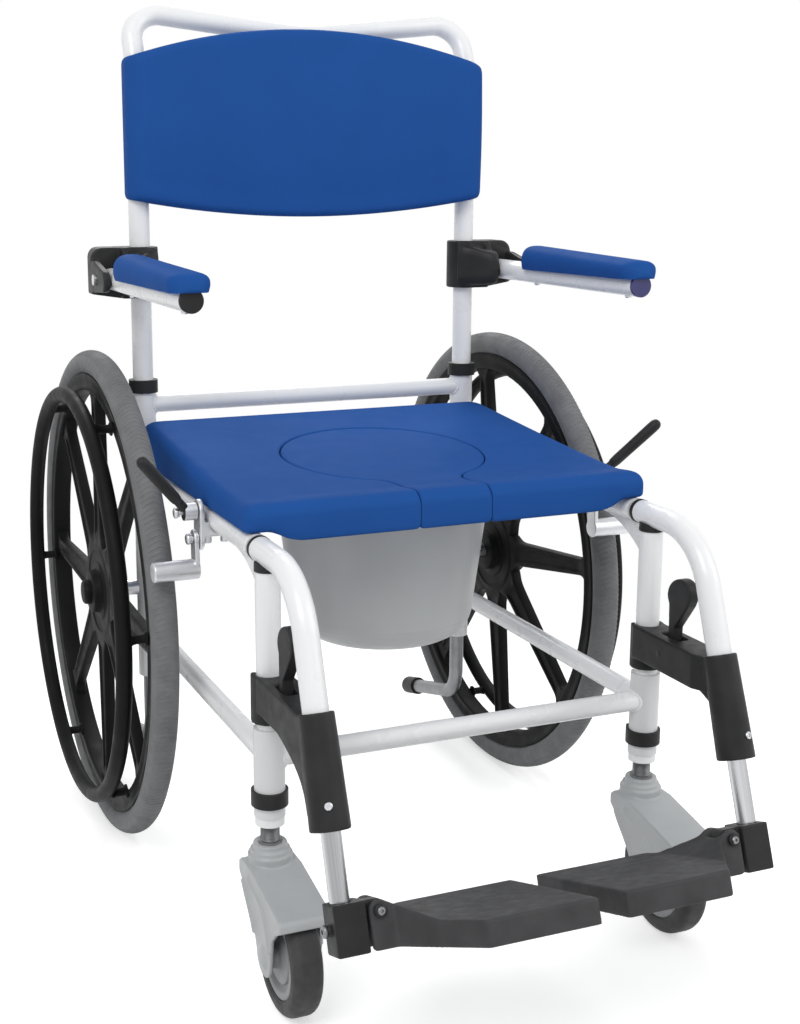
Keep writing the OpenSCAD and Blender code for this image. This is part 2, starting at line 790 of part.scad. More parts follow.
module arm_brackets() {
  z0 = arm_z - bracket_low;
  z1 = z0 + bracket_h;
  inner = arm_x - tube_r - cheek_gap;
  outer = arm_x + tube_r + cheek_gap;
  color(black) chair() both() difference() {
    union() {
      translate([frame_half, leg_to_post, z0]) cylinder(r = bracket_half, h = bracket_h);
      block([frame_half, leg_to_post - bracket_half, z0], [inner, leg_to_post + bracket_half, z1]);
      translate([0, leg_to_post + bracket_half, 0]) rotate([90, 0, 0]) linear_extrude(arm_back)
        polygon([[inner - over, z0], [outer + cheek_t, arm_z - cheek_h], [outer + cheek_t, arm_z + cheek_h],
          [inner - over, z1]]);
      slab_x(inner - cheek_t, inner) cheek(18, z0, z1);
      slab_x(outer, outer + cheek_t) cheek(45, arm_z - cheek_h, arm_z + cheek_h);
    }
    translate([frame_half, leg_to_post, z0 - over]) cylinder(d = tube_d + 2 * slip,
      h = bracket_h + 2 * over);
    translate([0, arm_y, arm_z]) bar_x(arm_pin_d + 2 * slip, frame_half, outer + 2 * cheek_t);
  }
}

// Cheek outline in Y and Z, tapering towards a round nose that reaches past the hinge pin
module cheek(reach, z0, z1) {
  nose = 13;
  polygon([[arm_y - reach + nose, arm_z - nose], [leg_to_post + bracket_half, z0],
    [leg_to_post + bracket_half, z1], [leg_to_post - bracket_half, z1], [arm_y - reach + nose,
      arm_z + nose]]);
  translate([arm_y - reach + nose, arm_z]) circle(nose);
}

module arm_pins() {
  outer = arm_x + tube_r + cheek_gap + cheek_t;
  color(silver) chair() both() translate([0, arm_y, arm_z]) {
    bar_x(arm_pin_d, arm_x - tube_r - cheek_gap - cheek_t, outer + over);
    bar_x(1.6 * arm_pin_d, outer + slip, outer + 3);
  }
}

// Hangers, which swing on the front legs

pivot_in = 45;
plug_l = 5;
// Reach of the black sleeve past the end of the hanger tube
grip_past = 3;
// Radius of the latch arm around the leg, and how far it reaches round it
latch_wall = 5;
latch_wrap = 9;
release_pin_d = 5;
// Height of the release lever's pin above the underside of the latch arm
release_z = 32;

// Puts a piece on the hanger's lower leg: Z runs down the leg from its bend and Y to the front
module at_shank(s = 0) {
  translate([frame_half, bend_y, bend_z]) rotate([180 - hang_lean, 0, 0]) translate([0, 0, s]) children();
}

function shank_y(z) = bend_y - (bend_z - z) * tan(hang_lean);

module hanger_tube(right) {
  color(white) chair() on_side(right) translate([frame_half, hang_back, rail_z]) rotate([90, 0, 0])
    rotate([0, 0, -90])
    bent_tube(tube_d, foot_bore, [[hang_back + hang_front, 0, bend_a, hang_r], [hang_l, 0, 0, 1]]);
}

// The end plug, and the bush under the tube whose pin turns in the leg
module hanger_bush(right) {
  color(black) chair() on_side(right) {
    translate([frame_half, hang_back, rail_z]) {
      bar_y(tube_d + 1, 0, plug_l);
      bar_y(foot_bore - 2 * slip, -3 * plug_l, over);
    }
    difference() {
      translate([frame_half, 0, 0]) {
        translate([0, 0, leg_top + rest_gap]) cylinder(d = tube_d + 2, h = bush_t + 4);
        translate([0, 0, leg_top - pivot_in]) cylinder(d = tube_bore - 2 * run_fit, h = pivot_in + over);
      }
      translate([frame_half, 0, rail_z]) bar_y(tube_d, -tube_d, tube_d);
    }
  }
}

// Hollow web between the outer side of the latch arm and the sleeve, in Y and Z
function latch_web() = let (low = bend_z - (hang_l - 6) * cos(hang_lean), high = latch_z + latch_rise)
  concat([[shank_y(high), high + over], [shank_y(low), low]],
    [for (i = [0 : 10]) let (t = i / 10, z = low + (high - low) * t)
      [shank_y(z) + 16 + 62 * pow(t, 3.2), z]],
    [[shank_y(high) + 78, high + over]]);

// Plan of the latch arm, chamfered beside the sleeve on its inner side
function latch_plan() = let (tip = shank_y(latch_z + latch_h) - 4)
  [[frame_half - latch_in, 0], [frame_half + latch_w / 2, 0], [frame_half + latch_w / 2, tip],
    [frame_half - 9, tip], [frame_half - latch_in, tip + 25]];

module latch_sleeve(right) {
  top = latch_z + latch_h;
  color(black) chair() on_side(right) difference() {
    union() {
      at_shank(hang_l - grip_l) cylinder(d1 = grip_d, d2 = grip_low_d, h = grip_l + grip_past);
      translate([0, 0, latch_z + latch_rise]) linear_extrude(latch_h - latch_rise) polygon(latch_plan());
      slab_x(frame_half, frame_half + latch_w / 2) polygon(latch_web());
      translate([frame_half, 0, latch_z]) intersection() {
        cylinder(r = tube_r + latch_gap + latch_wall, h = latch_h);
        block([-tube_d, -tube_d, -over], [tube_d, latch_wrap, latch_h + over]);
      }
    }
    translate([frame_half, 0, latch_z - over]) cylinder(r = tube_r + latch_gap, h = latch_h + 2 * over);
    at_shank(0) cylinder(d = tube_d + 2 * slip, h = hang_l + slip);
    at_shank(0) cylinder(d = foot_d + 2, h = hang_l + 2 * grip_past);
    block([frame_half - release_w / 2 - 0.5, -release_y - 16, latch_z + release_z - 9],
      [frame_half + release_w / 2 + 0.5, -release_y + 16, top + over]);
    translate([frame_half, -release_y, latch_z + release_z]) bar_x(release_pin_d + 2 * run_fit, -latch_w,
      latch_w);
  }
}

// Spoon-shaped thumb lever with its pin; the spoon leans forward
spoon_a = 21;
spoon_b = 17;
spoon_lean = 60;

module release_lever(right) {
  c = [-11, release_l - sqrt(pow(spoon_a * cos(spoon_lean), 2) + pow(spoon_b * sin(spoon_lean), 2))];
  color(black) chair() on_side(right) translate([frame_half, -release_y, latch_z + release_z]) {
    slab_x(-release_w / 2, release_w / 2) {
      circle(7);
      polygon([[5, 0], [-5, 0], [-6, c[1] - 26], [-14, c[1] - 10], [0, c[1] - 10], [4, c[1] - 26]]);
      polygon([for (i = [0 : 35]) c + [spoon_b * cos(10 * i) * cos(spoon_lean) - spoon_a * sin(10 * i)
        * sin(spoon_lean),
        spoon_b * cos(10 * i) * sin(spoon_lean) + spoon_a * sin(10 * i) * cos(spoon_lean)]]);
    }
    bar_x(release_pin_d, -latch_w / 2 + 1, latch_w / 2 - 1);
  }
}

// Foot supports, which slide in the hangers

socket_end = 8;
knuckle_rear = 8;
knuckle_front = 10;
lug_gap = 0.6;
lug_rear = 23;

module foot_tube(right) {
  color(silver) chair() on_side(right) at_shank(hang_l - foot_in)
    pipe(foot_d, foot_d - 2 * tube_wall, foot_in + foot_show + block_h - socket_end - slip);
}

// Puts a piece on the foot block: Z runs down the foot tube, Y to the front
module at_foot() {
  at_shank(foot_s) children();
}

// Block with a hinge knuckle, the hinge pin and the bolt that holds the foot tube
module foot_bracket(right) {
  color(black) chair() on_side(right) at_foot() {
    difference() {
      union() {
        block([-block_in, -block_rear, 0], [block_out, block_d - block_rear, block_h]);
        translate([-hinge_in, 0, hinge_a]) bar_y(2 * lug_r, -knuckle_rear, knuckle_front);
        block([-hinge_in, -knuckle_rear, hinge_a - lug_r], [-block_in + over, knuckle_front,
          hinge_a + lug_r]);
      }
      translate([0, 0, -over]) cylinder(d = foot_d + 2 * slip, h = block_h - socket_end + over);
      translate([-hinge_in, 0, hinge_a]) bar_y(hinge_d + 2 * slip, -block_d, block_d);
    }
    translate([-hinge_in, 0, hinge_a]) {
      bar_y(hinge_d, -lug_rear - 3, block_d - block_rear + 1);
      bar_y(1.6 * hinge_d, block_d - block_rear + 0.5, block_d - block_rear + 4);
    }
    translate([0, 0, block_h / 2]) bar_x(10, block_out, block_out + 4);
  }
}

// Plate that slopes up to its two deep hinge lugs and narrows towards them
module footplate(right) {
  in_x = plate_gap / 2 - frame_half;
  ramp_x = -hinge_in - 41;
  low = plate_a + plate_t;
  front = block_d - block_rear;
  neck_x = -hinge_in - lug_r - 4;
  color(black) chair() on_side(right) at_foot() difference() {
    intersection() {
      translate([0, plate_front, 0]) rotate([90, 0, 0]) linear_extrude(plate_front + plate_rear) {
        polygon([[in_x, plate_a], [ramp_x, plate_a], [-hinge_in - lug_r * 0.6, hinge_a - lug_r * 0.8],
          [-hinge_in + lug_r, hinge_a], [-hinge_in + lug_r, low - 3], [-hinge_in + lug_r - 3, low],
            [in_x, low]]);
        translate([-hinge_in, hinge_a]) circle(lug_r);
      }
      linear_extrude(2 * low, center = true) polygon([[in_x, -plate_rear], [ramp_x - 8, -plate_rear],
        [neck_x, -lug_rear], [-block_in - lug_gap, -lug_rear], [-block_in - lug_gap, front],
        [neck_x, front], [ramp_x - 24, plate_front], [in_x, plate_front]]);
    }
    block([-hinge_in - lug_r - 2, -knuckle_rear - lug_gap, hinge_a - 2 * lug_r],
      [0, knuckle_front + lug_gap, hinge_a + 4 * lug_r]);
    translate([-hinge_in, 0, hinge_a]) bar_y(hinge_d + 2 * run_fit, -block_d, block_d);
  }
}

// Castors

castor_hub_r = 45;
wheel_clear = 1.6;
boss_r = 20;
cap_d = 46;

module castor_fork(right) {
  inner = fork_w / 2 - fork_t;
  front_y = -trail - 51;
  body_z = castor_z - 5;
  color(grey) chair() on_side(right) translate([frame_half, 0, 0]) {
    difference() {
      union() {
        slab_x(-fork_w / 2, fork_w / 2) {
          polygon([[19, body_z - 30], [19, body_z - 19], [13, body_z - 14], [-18, body_z - 14],
            [front_y + 3, body_z - 31], [front_y, body_z - 34], [front_y, body_z - 41],
            [front_y + 14, body_z - 49], [-trail - boss_r - 4, castor_r + 28], [-trail - boss_r, castor_r],
            [-trail + boss_r, castor_r], [-trail + boss_r + 7, castor_r + 15], [6, body_z - 42]]);
          translate([-trail, castor_r]) circle(boss_r);
        }
        translate([0, 0, castor_z - 31]) cylinder(d = cap_d, h = 20);
        translate([0, 0, castor_z - 12]) cylinder(d = cap_d - 5, h = 6);
        translate([0, 0, castor_z - 7]) cylinder(d = cap_d - 11, h = 7);
        cylinder_between(stem_d, castor_z - 10, leg_z - foot_bush_h - rest_gap);
        cylinder_between(pintle_d, castor_z, leg_z + foot_bush_in + 4);
      }
      slab_x(-inner, inner) translate([-trail, castor_r]) circle(castor_r + wheel_clear, $fn = 96);
      translate([0, -trail, castor_r]) bar_x(castor_axle_d + 2 * slip, -fork_w, fork_w);
    }
    translate([0, -trail, castor_r]) {
      bar_x(castor_axle_d, -fork_w / 2 - 3, fork_w / 2 + 3);
      both() bar_x(1.7 * castor_axle_d, fork_w / 2, fork_w / 2 + 4);
    }
  }
}

module cylinder_between(d, z0, z1) {
  translate([0, 0, z0]) cylinder(d = d, h = z1 - z0);
}

// Puts a wheel's axis along X at the castor's axle
module at_castor() {
  translate([frame_half, -trail, castor_r]) rotate([0, 90, 0]) children();
}

module castor_hub(right) {
  half = fork_w / 2 - fork_t - 0.5;
  rim = castor_w / 2 - 2;
  color(grey) chair() on_side(right) at_castor() rotate_extrude() polygon([
    [castor_axle_d / 2 + run_fit, -half], [11, -half], [13, -8], [34, -7], [36, -rim], [castor_hub_r, -rim],
    [castor_hub_r, rim], [36, rim], [34, 7], [13, 8], [11, half], [castor_axle_d / 2 + run_fit, half]]);
}

module castor_tyre(right) {
  crown_r = 10;
  half = castor_w / 2;
  color(dark_grey) chair() on_side(right) at_castor() rotate_extrude($fn = 96) polygon(concat(
    [[castor_hub_r, -half + 2], [castor_hub_r + 3, -half]], arc([castor_r - crown_r, -half + crown_r],
      crown_r, 270, 360, 6),
    arc([castor_r - crown_r, half - crown_r], crown_r, 0, 90, 6), [[castor_hub_r + 3, half],
      [castor_hub_r, half - 2]]));
}

// Rear wheels

rim_out_r = tyre_c - 0.77 * tyre_r;
hub_boss_r = 27;
lug_d = 10;
// The lugs stand this much outside the hoop's centreline, over the rim's inner edge
lug_shift = 3.5;
lug_turn = 27;

// Puts a wheel's axis along X at the rear axle, with +Z to the outside
module at_wheel(turn = 0) {
  translate([wheel_x, wheel_y, wheel_r]) rotate([0, 90, 0]) rotate([0, 0, turn]) children();
}

module wheel(right) {
  color(black) chair() on_side(right) at_wheel(right ? wheel_turn : 0) difference() {
    union() {
      rotate_extrude($fn = 96) difference() {
        translate([rim_in_r, -rim_w / 2]) square([rim_out_r - rim_in_r, rim_w]);
        translate([tyre_c, 0]) circle(tyre_r);
      }
      for (k = [0 : spokes - 1]) rotate([0, 0, 360 * k / spokes]) translate([0, 0, -spoke_t / 2])
        linear_extrude(spoke_t)
        polygon([[hub_r - 8, -spoke_w / 2], [rim_in_r + 3, -spoke_end_w / 2], [rim_in_r + 3,
          spoke_end_w / 2],
          [hub_r - 8, spoke_w / 2]]);
      cylinder(r = hub_r, h = spoke_t + 2, center = true);
      cylinder(r = hub_boss_r, h = hub_l, center = true);
    }
    cylinder(d = axle_d + 2 * run_fit, h = 2 * hub_l, center = true);
  }
}

module tyre(right) {
  color(dark_grey) chair() on_side(right) at_wheel() rotate_extrude($fn = 96) translate([tyre_c, 0])
    circle(tyre_r);
}

// Hand hoop with the lugs that stand on the rim's outer face
module handrim(right) {
  color(black) chair() on_side(right) at_wheel(right ? wheel_turn : 0) {
    translate([0, 0, handrim_out]) rotate_extrude($fn = 96) translate([handrim_r, 0]) circle(d = handrim_d);
    for (k = [0 : lugs - 1]) rotate([0, 0, lug_turn + 360 * k / lugs]) translate([handrim_r + lug_shift,
      0, rim_w / 2])
      cylinder(d = lug_d, h = handrim_out - rim_w / 2 - 2);
  }
}

module wheel_axles() {
  post_x = frame_half - post_d / 2;
  hub_in = wheel_x - hub_l / 2;
  hub_out = wheel_x + hub_l / 2;
  color(silver) chair() both() translate([0, wheel_y, wheel_r]) {
    bar_x(axle_d, post_x - 2, hub_out + 2);
    bar_x(1.7 * axle_d, post_x - 10, post_x);
    bar_x(1.7 * axle_d, frame_half + post_d / 2, hub_in - rest_gap);
    bar_x(2.2 * axle_d, hub_out + rest_gap, hub_out + 7);
  }
}

// Brakes

plate_x = seat_half + 5;
plate_half = 13;
shoe_in = 15;

// Saddles under the seat rails, with the plates that carry the brake pins
module brake_clamps() {
  color(silver) chair() both() difference() {
    union() {
      block([frame_half - tube_r - 3, brake_y - plate_half, rail_z - tube_r - 4], [plate_x + over,
        brake_y + plate_half, rail_z]);
      slab_x(plate_x, plate_x + brake_t) {
        translate([brake_y, rail_z + lever_up]) circle(plate_half);
        translate([brake_y, rail_z - shoe_pin_down]) circle(plate_half);
        translate([brake_y - plate_half, rail_z - shoe_pin_down]) square([2 * plate_half,
          lever_up + shoe_pin_down]);
      }
    }
    translate([frame_half, 0, rail_z]) bar_y(tube_d + 2 * slip, brake_y - 2 * plate_half,
      brake_y + 2 * plate_half);
    for (z = [rail_z + lever_up, rail_z - shoe_pin_down])
      translate([0, brake_y, z]) bar_x(brake_pin_d + 2 * slip, plate_x - over, plate_x + 2 * brake_t);
  }
}

// Pins with heads outside the levers
module brake_pins() {
  color(silver) chair() both() for (p = [[rail_z + lever_up, shoe_in + 5], [rail_z - shoe_pin_down,
    brake_t + 2]])
    translate([plate_x, brake_y, p[0]]) {
      bar_x(brake_pin_d, 0, brake_t + p[1]);
      bar_x(1.7 * brake_pin_d, brake_t + p[1] - 0.5, brake_t + p[1] + 2.5);
    }
}

module brake_lever(right) {
  hub_x = plate_x + brake_t + rest_gap;
  root = [hub_x + shoe_in - lever_d / 2, brake_y, rail_z + lever_up];
  color(black) chair() on_side(right) difference() {
    union() {
      translate([0, brake_y, rail_z + lever_up]) bar_x(18, hub_x, hub_x + shoe_in);
      rod(root, root + [lever_x, -lever_y, lever_h], lever_d);
    }
    translate([0, brake_y, rail_z + lever_up]) bar_x(brake_pin_d + 2 * run_fit, plate_x,
      hub_x + 5 * shoe_in);
    translate([0, brake_y, rail_z + lever_up]) bar_x(2.2 * brake_pin_d, hub_x + shoe_in + rest_gap,
      hub_x + shoe_in + 7);
  }
}

// Arm that carries a round shoe in front of the tyre
module brake_shoe(right) {
  arm_x0 = plate_x + brake_t + rest_gap;
  pin_z = rail_z - shoe_pin_down;
  color(silver) chair() on_side(right) difference() {
    union() {
      translate([0, brake_y, pin_z]) bar_x(20, arm_x0, arm_x0 + brake_t);
      slab_x(arm_x0, arm_x0 + brake_t) polygon([[brake_y - 9, pin_z], [shoe_y - 9, shoe_z], [shoe_y + 9,
        shoe_z], [brake_y + 9, pin_z]]);
      translate([0, shoe_y, shoe_z]) bar_x(shoe_d, arm_x0, wheel_x + tyre_r);
    }
    translate([0, brake_y, pin_z]) bar_x(brake_pin_d + 2 * run_fit, plate_x, arm_x0 + 2 * brake_t);
  }
}

// Tipping levers at the foot of the rear posts

tip_plug = 36;
tip_cap = 30;
tip_cap_t = 3;

module tipping_levers() {
  color(white) chair() both() translate([frame_half, leg_to_post, leg_z]) {
    translate([0, 0, -slip]) cylinder(d = tube_d, h = tip_plug);
    rotate([180, 0, 0]) rotate([0, 0, -90])
      bent_tube(tip_d, tip_d - 2 * tube_wall, [[tip_drop, 0, tip_turn, tip_r], [tip_l, 0, 0, 1]]);
  }
}

module tipping_caps() {
  end_y = leg_to_post + tip_r * (1 - cos(tip_turn)) + tip_l * sin(tip_turn);
  end_z = leg_z - tip_drop - tip_r * sin(tip_turn) - tip_l * cos(tip_turn);
  color(black) chair() both() translate([frame_half, end_y, end_z]) rotate([180 + tip_turn, 0, 0])
    difference() {
    translate([0, 0, -tip_cap]) cylinder(d = tip_d + 2 * tip_cap_t, h = tip_cap + tip_cap_t);
    translate([0, 0, -tip_cap - over]) cylinder(d = tip_d + 2 * slip, h = tip_cap + over + slip);
  }
}

front_legs();
leg_sleeves();
collars();
leg_bushes();
rear_posts();
back_frame();
seat_rails();
lower_rails();
front_cross_tube();
rear_cross_tube();
gussets();
backrest();
seat_pad();
pan_rails();
arm_brackets();
arm_pins();
brake_clamps();
brake_pins();
tipping_levers();
tipping_caps();
wheel_axles();
seat_insert();
bucket();
arm_tube(false);  // arm_tube_left
arm_tube(true);  // arm_tube_right
arm_pad(false);  // arm_pad_left
arm_pad(true);  // arm_pad_right
arm_plug(false);  // arm_plug_left
arm_plug(true);  // arm_plug_right
hanger_tube(false);  // hanger_tube_left
hanger_tube(true);  // hanger_tube_right
latch_sleeve(false);  // latch_sleeve_left
latch_sleeve(true);  // latch_sleeve_right
hanger_bush(false);  // hanger_bush_left
hanger_bush(true);  // hanger_bush_right
release_lever(false);  // release_lever_left
release_lever(true);  // release_lever_right
foot_tube(false);  // foot_tube_left
foot_tube(true);  // foot_tube_right
foot_bracket(false);  // foot_bracket_left
foot_bracket(true);  // foot_bracket_right
footplate(false);  // footplate_left
footplate(true);  // footplate_right
castor_fork(false);  // castor_fork_left
castor_fork(true);  // castor_fork_right
castor_hub(false);  // castor_hub_left
castor_hub(true);  // castor_hub_right
castor_tyre(false);  // castor_tyre_left
castor_tyre(true);  // castor_tyre_right
wheel(false);  // wheel_left
wheel(true);  // wheel_right
tyre(false);  // tyre_left
tyre(true);  // tyre_right
handrim(false);  // handrim_left
handrim(true);  // handrim_right
brake_lever(false);  // brake_lever_left
brake_lever(true);  // brake_lever_right
brake_shoe(false);  // brake_shoe_left
brake_shoe(true);  // brake_shoe_right
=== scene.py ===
"""Finished looks of a self-propel shower commode chair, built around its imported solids."""

import math

import bmesh
import bpy
import numpy as np
from mathutils import Matrix, Vector


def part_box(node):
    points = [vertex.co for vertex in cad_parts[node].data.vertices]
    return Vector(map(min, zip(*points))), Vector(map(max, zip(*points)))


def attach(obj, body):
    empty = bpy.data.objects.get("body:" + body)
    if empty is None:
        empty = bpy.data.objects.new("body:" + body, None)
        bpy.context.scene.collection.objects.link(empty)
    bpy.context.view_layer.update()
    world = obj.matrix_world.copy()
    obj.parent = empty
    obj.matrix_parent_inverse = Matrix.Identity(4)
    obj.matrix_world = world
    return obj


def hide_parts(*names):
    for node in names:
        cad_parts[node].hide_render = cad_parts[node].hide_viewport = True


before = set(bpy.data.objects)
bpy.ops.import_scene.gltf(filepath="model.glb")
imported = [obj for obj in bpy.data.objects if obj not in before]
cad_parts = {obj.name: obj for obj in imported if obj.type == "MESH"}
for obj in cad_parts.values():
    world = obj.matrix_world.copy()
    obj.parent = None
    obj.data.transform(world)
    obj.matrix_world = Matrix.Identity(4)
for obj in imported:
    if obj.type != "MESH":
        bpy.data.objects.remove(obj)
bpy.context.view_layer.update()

bl_info = {
    "name": "Shower commode chair",
    "version": (1, 0, 0),
    "blender": (4, 5, 0),
    "location": "View3D > Sidebar > Chair",
    "description": "Pads, wheels, mouldings, fasteners and finishes of a shower commode chair",
    "category": "Object",
}

# Sizes below are in millimetres from the front leg axis, with the floor at z = 0
MM = 0.001
TAU = 2 * math.pi
LEG_Y = sum(corner.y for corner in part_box("front_legs")) / 2
SIDES = (("left", -1), ("right", 1))

# Main lines of the chair that several pieces share
FRAME_X = 222.0
POST_Y = 466.0
RAIL_Z = 460.0
SHANK_TOP = (-106.18, 407.36)
SHANK_LEAN = math.radians(20)
FINISHES = {}


def colour(name, what, value):
    """A colour property."""
    return bpy.props.FloatVectorProperty(
        name=name, description=what, subtype="COLOR", min=0, max=1, default=value)


def length(name, what, low, high, value):
    """A length property, in metres."""
    return bpy.props.FloatProperty(
        name=name, description=what, unit="LENGTH", min=low, max=high, default=value)


def count(name, what, low, high, value):
    """A property for a number of equal parts."""
    return bpy.props.IntProperty(name=name, description=what, min=low, max=high, default=value)


class ChairColours(bpy.types.PropertyGroup):
    """Colours of the chair's finishes"""

    coat: colour("Frame coat", "Powder coat of the tubes", (0.80, 0.81, 0.82))
    pad: colour("Pads", "Moulded foam of the seat, backrest and arm pads", (0.017, 0.078, 0.29))
    black: colour("Black plastic", "Clamps, latches, footplates and wheels", (0.023, 0.023, 0.024))
    housing: colour("Castor grey", "Castor housings and hubs", (0.385, 0.40, 0.41))
    pail: colour("Bucket grey", "Commode bucket", (0.465, 0.479, 0.488))
    tyre: colour("Rear tyres", "Solid rear tyres", (0.143, 0.147, 0.152))
    tread: colour("Castor tyres", "Castor tyres", (0.026, 0.026, 0.027))
    steel: colour("Steel", "Brakes, pins, bolts and foot tubes", (0.66, 0.67, 0.69))
    plug: colour("Right arm plug", "Plug in the right arm tube", (0.030, 0.028, 0.13))


class ChairSizes(bpy.types.PropertyGroup):
    """Sizes of the details, in metres"""

    dish: length("Seat dish", "Depth of the hollow in the seat's top", 0, 0.006, 0.003)
    groove: length("Insert edge", "Rounding of the edges at the insert's joint", 0.001, 0.005, 0.0034)
    lip: length("Backrest lip", "Rise of the lip along the backrest's bottom edge", 0, 0.004, 0.0022)
    tread_count: count("Tread ribs", "Count of the ribs around a rear tyre", 60, 360, 300)
    spokes: count("Spokes", "Count of the spokes in a rear wheel", 5, 10, 8)
    bead: length("Weld bead", "Radius of the drops in a weld bead", 0.0008, 0.003, 0.0016)
    mould: length("Moulding detail", "Mesh size of the moulded parts", 0.0008, 0.003, 0.0012)


# Finishes


def new_node(tree, kind, values=(), settings=()):
    """A node with its settings and the defaults of its inputs."""
    made = tree.nodes.new(kind)
    for key, value in dict(settings).items():
        setattr(made, key, value)
    for key, value in dict(values).items():
        made.inputs[key].default_value = value
    return made


def add_nodes(tree, nodes, links):
    """Adds named nodes to a tree and links them, each link as node, output, node and input."""
    made = {node.name: node for node in tree.nodes}
    for key, parts in nodes.items():
        made[key] = new_node(tree, *parts)
    for source, out, target, into in links:
        tree.links.new(made[source].outputs[out], made[target].inputs[into])


def texture(tree, where, kind, scale, detail=3.0):
    """A texture's output from 0 to 1 at a scale given in cells per metre."""
    if kind == "cells":
        made = new_node(tree, "ShaderNodeTexVoronoi", {"Scale": scale})
    else:
        made = new_node(tree, "ShaderNodeTexNoise", {"Scale": scale, "Detail": detail})
    tree.links.new(where, made.inputs["Vector"])
    return made.outputs["Distance" if kind == "cells" else "Fac"]


def between(tree, value, low, high):
    """A texture's middle range spread between two values."""
    made = new_node(tree, "ShaderNodeMapRange",
                    {"From Min": 0.3, "From Max": 0.7, "To Min": low, "To Max": high})
    tree.links.new(value, made.inputs["Value"])
    return made.outputs["Result"]


COAT_ROUGH = 0.22
GLOSS_SCALE = 2.7


def make_finish(name, base, tone, rough, grain, metal=0.0, coat=0.0, shine=0.5, stretch=(1, 1, 1)):
    """A finish: soft changes of tone and gloss, and grain as a list of (pattern, scale, height)."""
    mat = bpy.data.materials.new(name)
    mat.use_nodes = True
    mat.diffuse_color = (*base, 1)
    tree = mat.node_tree
    link = tree.links.new
    shader = tree.nodes["Principled BSDF"].inputs
    shader["Metallic"].default_value = metal
    shader["Coat Weight"].default_value = coat
    shader["Specular IOR Level"].default_value = shine
    shader["Coat Roughness"].default_value = COAT_ROUGH
    coords = new_node(tree, "ShaderNodeTexCoord")
    mapped = new_node(tree, "ShaderNodeMapping", {"Scale": stretch})
    link(coords.outputs["Object"], mapped.inputs["Vector"])
    where = mapped.outputs["Vector"]
    scale, amount = tone
    mix = new_node(tree, "ShaderNodeMix", settings={"data_type": "RGBA"})
    mix.inputs["A"].default_value = (*[c * (1 - amount) for c in base], 1)
    mix.inputs["B"].default_value = (*[min(1, c * (1 + amount)) for c in base], 1)
    link(between(tree, texture(tree, where, "noise", scale, 6), 0, 1), mix.inputs["Factor"])
    link(mix.outputs["Result"], shader["Base Color"])
    gloss = texture(tree, where, "noise", scale * GLOSS_SCALE)
    link(between(tree, gloss, *rough), shader["Roughness"])
    normal = None
    for kind, cells, height in grain:
        bump = new_node(tree, "ShaderNodeBump", {"Strength": 1.0, "Distance": height})
        link(texture(tree, where, kind, cells), bump.inputs["Height"])
        if normal:
            link(normal, bump.inputs["Normal"])
        normal = bump.outputs["Normal"]
    if normal:
        link(normal, shader["Normal"])
    FINISHES[name] = mat


# Each finish: a colour and the share of it, tone, roughness, grain and the other settings
FINISH_TABLE = {
    "white_coat": ("coat", 1, (9, 0.015), (0.24, 0.34), [("noise", 650, 0.00003)], {"coat": 0.25}),
    # Painted shade: the leg sleeves take the frame coat darkened to 0.82, with a rougher gloss and no clear
    # coat
    "sleeve_coat": ("coat", 0.82, (9, 0.02), (0.3, 0.4), [("noise", 650, 0.00003)], {}),
    "white_plastic": ("coat", 1, (12, 0.03), (0.38, 0.5), [("noise", 900, 0.00002)], {}),
    "blue_pad": ("pad", 1, (14, 0.03), (0.48, 0.56),
                 [("cells", 1100, 0.00005), ("noise", 260, 0.00005)], {"shine": 0.01}),
    "black_plastic": ("black", 1, (25, 0.25), (0.36, 0.52),
                      [("noise", 1500, 0.00005), ("cells", 900, 0.00003)], {"shine": 0.16}),
    "tread_plastic": ("black", 2.0, (30, 0.2), (0.5, 0.65),
                      [("noise", 900, 0.00008), ("cells", 600, 0.00005)], {"shine": 0.2}),
    "black_wheel": ("black", 0.3, (18, 0.25), (0.46, 0.60), [("noise", 800, 0.00004)], {"shine": 0.10}),
    "violet_plastic": ("plug", 1, (25, 0.15), (0.34, 0.46), [("noise", 1500, 0.00004)], {}),
    "grey_plastic": ("housing", 1, (20, 0.05), (0.34, 0.46), [("noise", 1000, 0.00004)], {}),
    "hub_plastic": ("housing", 0.62, (25, 0.08), (0.4, 0.52), [("noise", 900, 0.00005)], {}),
    "pail_plastic": ("pail", 1, (10, 0.05), (0.36, 0.48), [("noise", 500, 0.00005)], {}),
    "grey_tyre": ("tyre", 1, (45, 0.14), (0.62, 0.80),
                  [("noise", 700, 0.00012), ("cells", 380, 0.00006)], {}),
    "castor_tread": ("tread", 1, (40, 0.2), (0.55, 0.72), [("noise", 600, 0.0001)], {}),
    "bright_steel": ("steel", 1, (60, 0.08), (0.22, 0.38),
                     [("noise", 900, 0.00002)], {"metal": 1.0, "stretch": (0.25, 1, 1)}),
    "cast_metal": ("steel", 0.95, (40, 0.08), (0.34, 0.48), [("noise", 500, 0.00006)], {"metal": 1.0}),
    "dull_steel": ("steel", 0.38, (50, 0.1), (0.36, 0.5), [("noise", 600, 0.00003)], {"metal": 1.0}),
    # Painted reflection streaks: strong tone stretched along each foot tube, lighter and darker bands down
    # the steel
    "drawn_tube": ("steel", 0.85, (110, 0.32), (0.20, 0.26), [],
                   {"metal": 1.0, "stretch": (1, 0.01, 0.01)}),
}

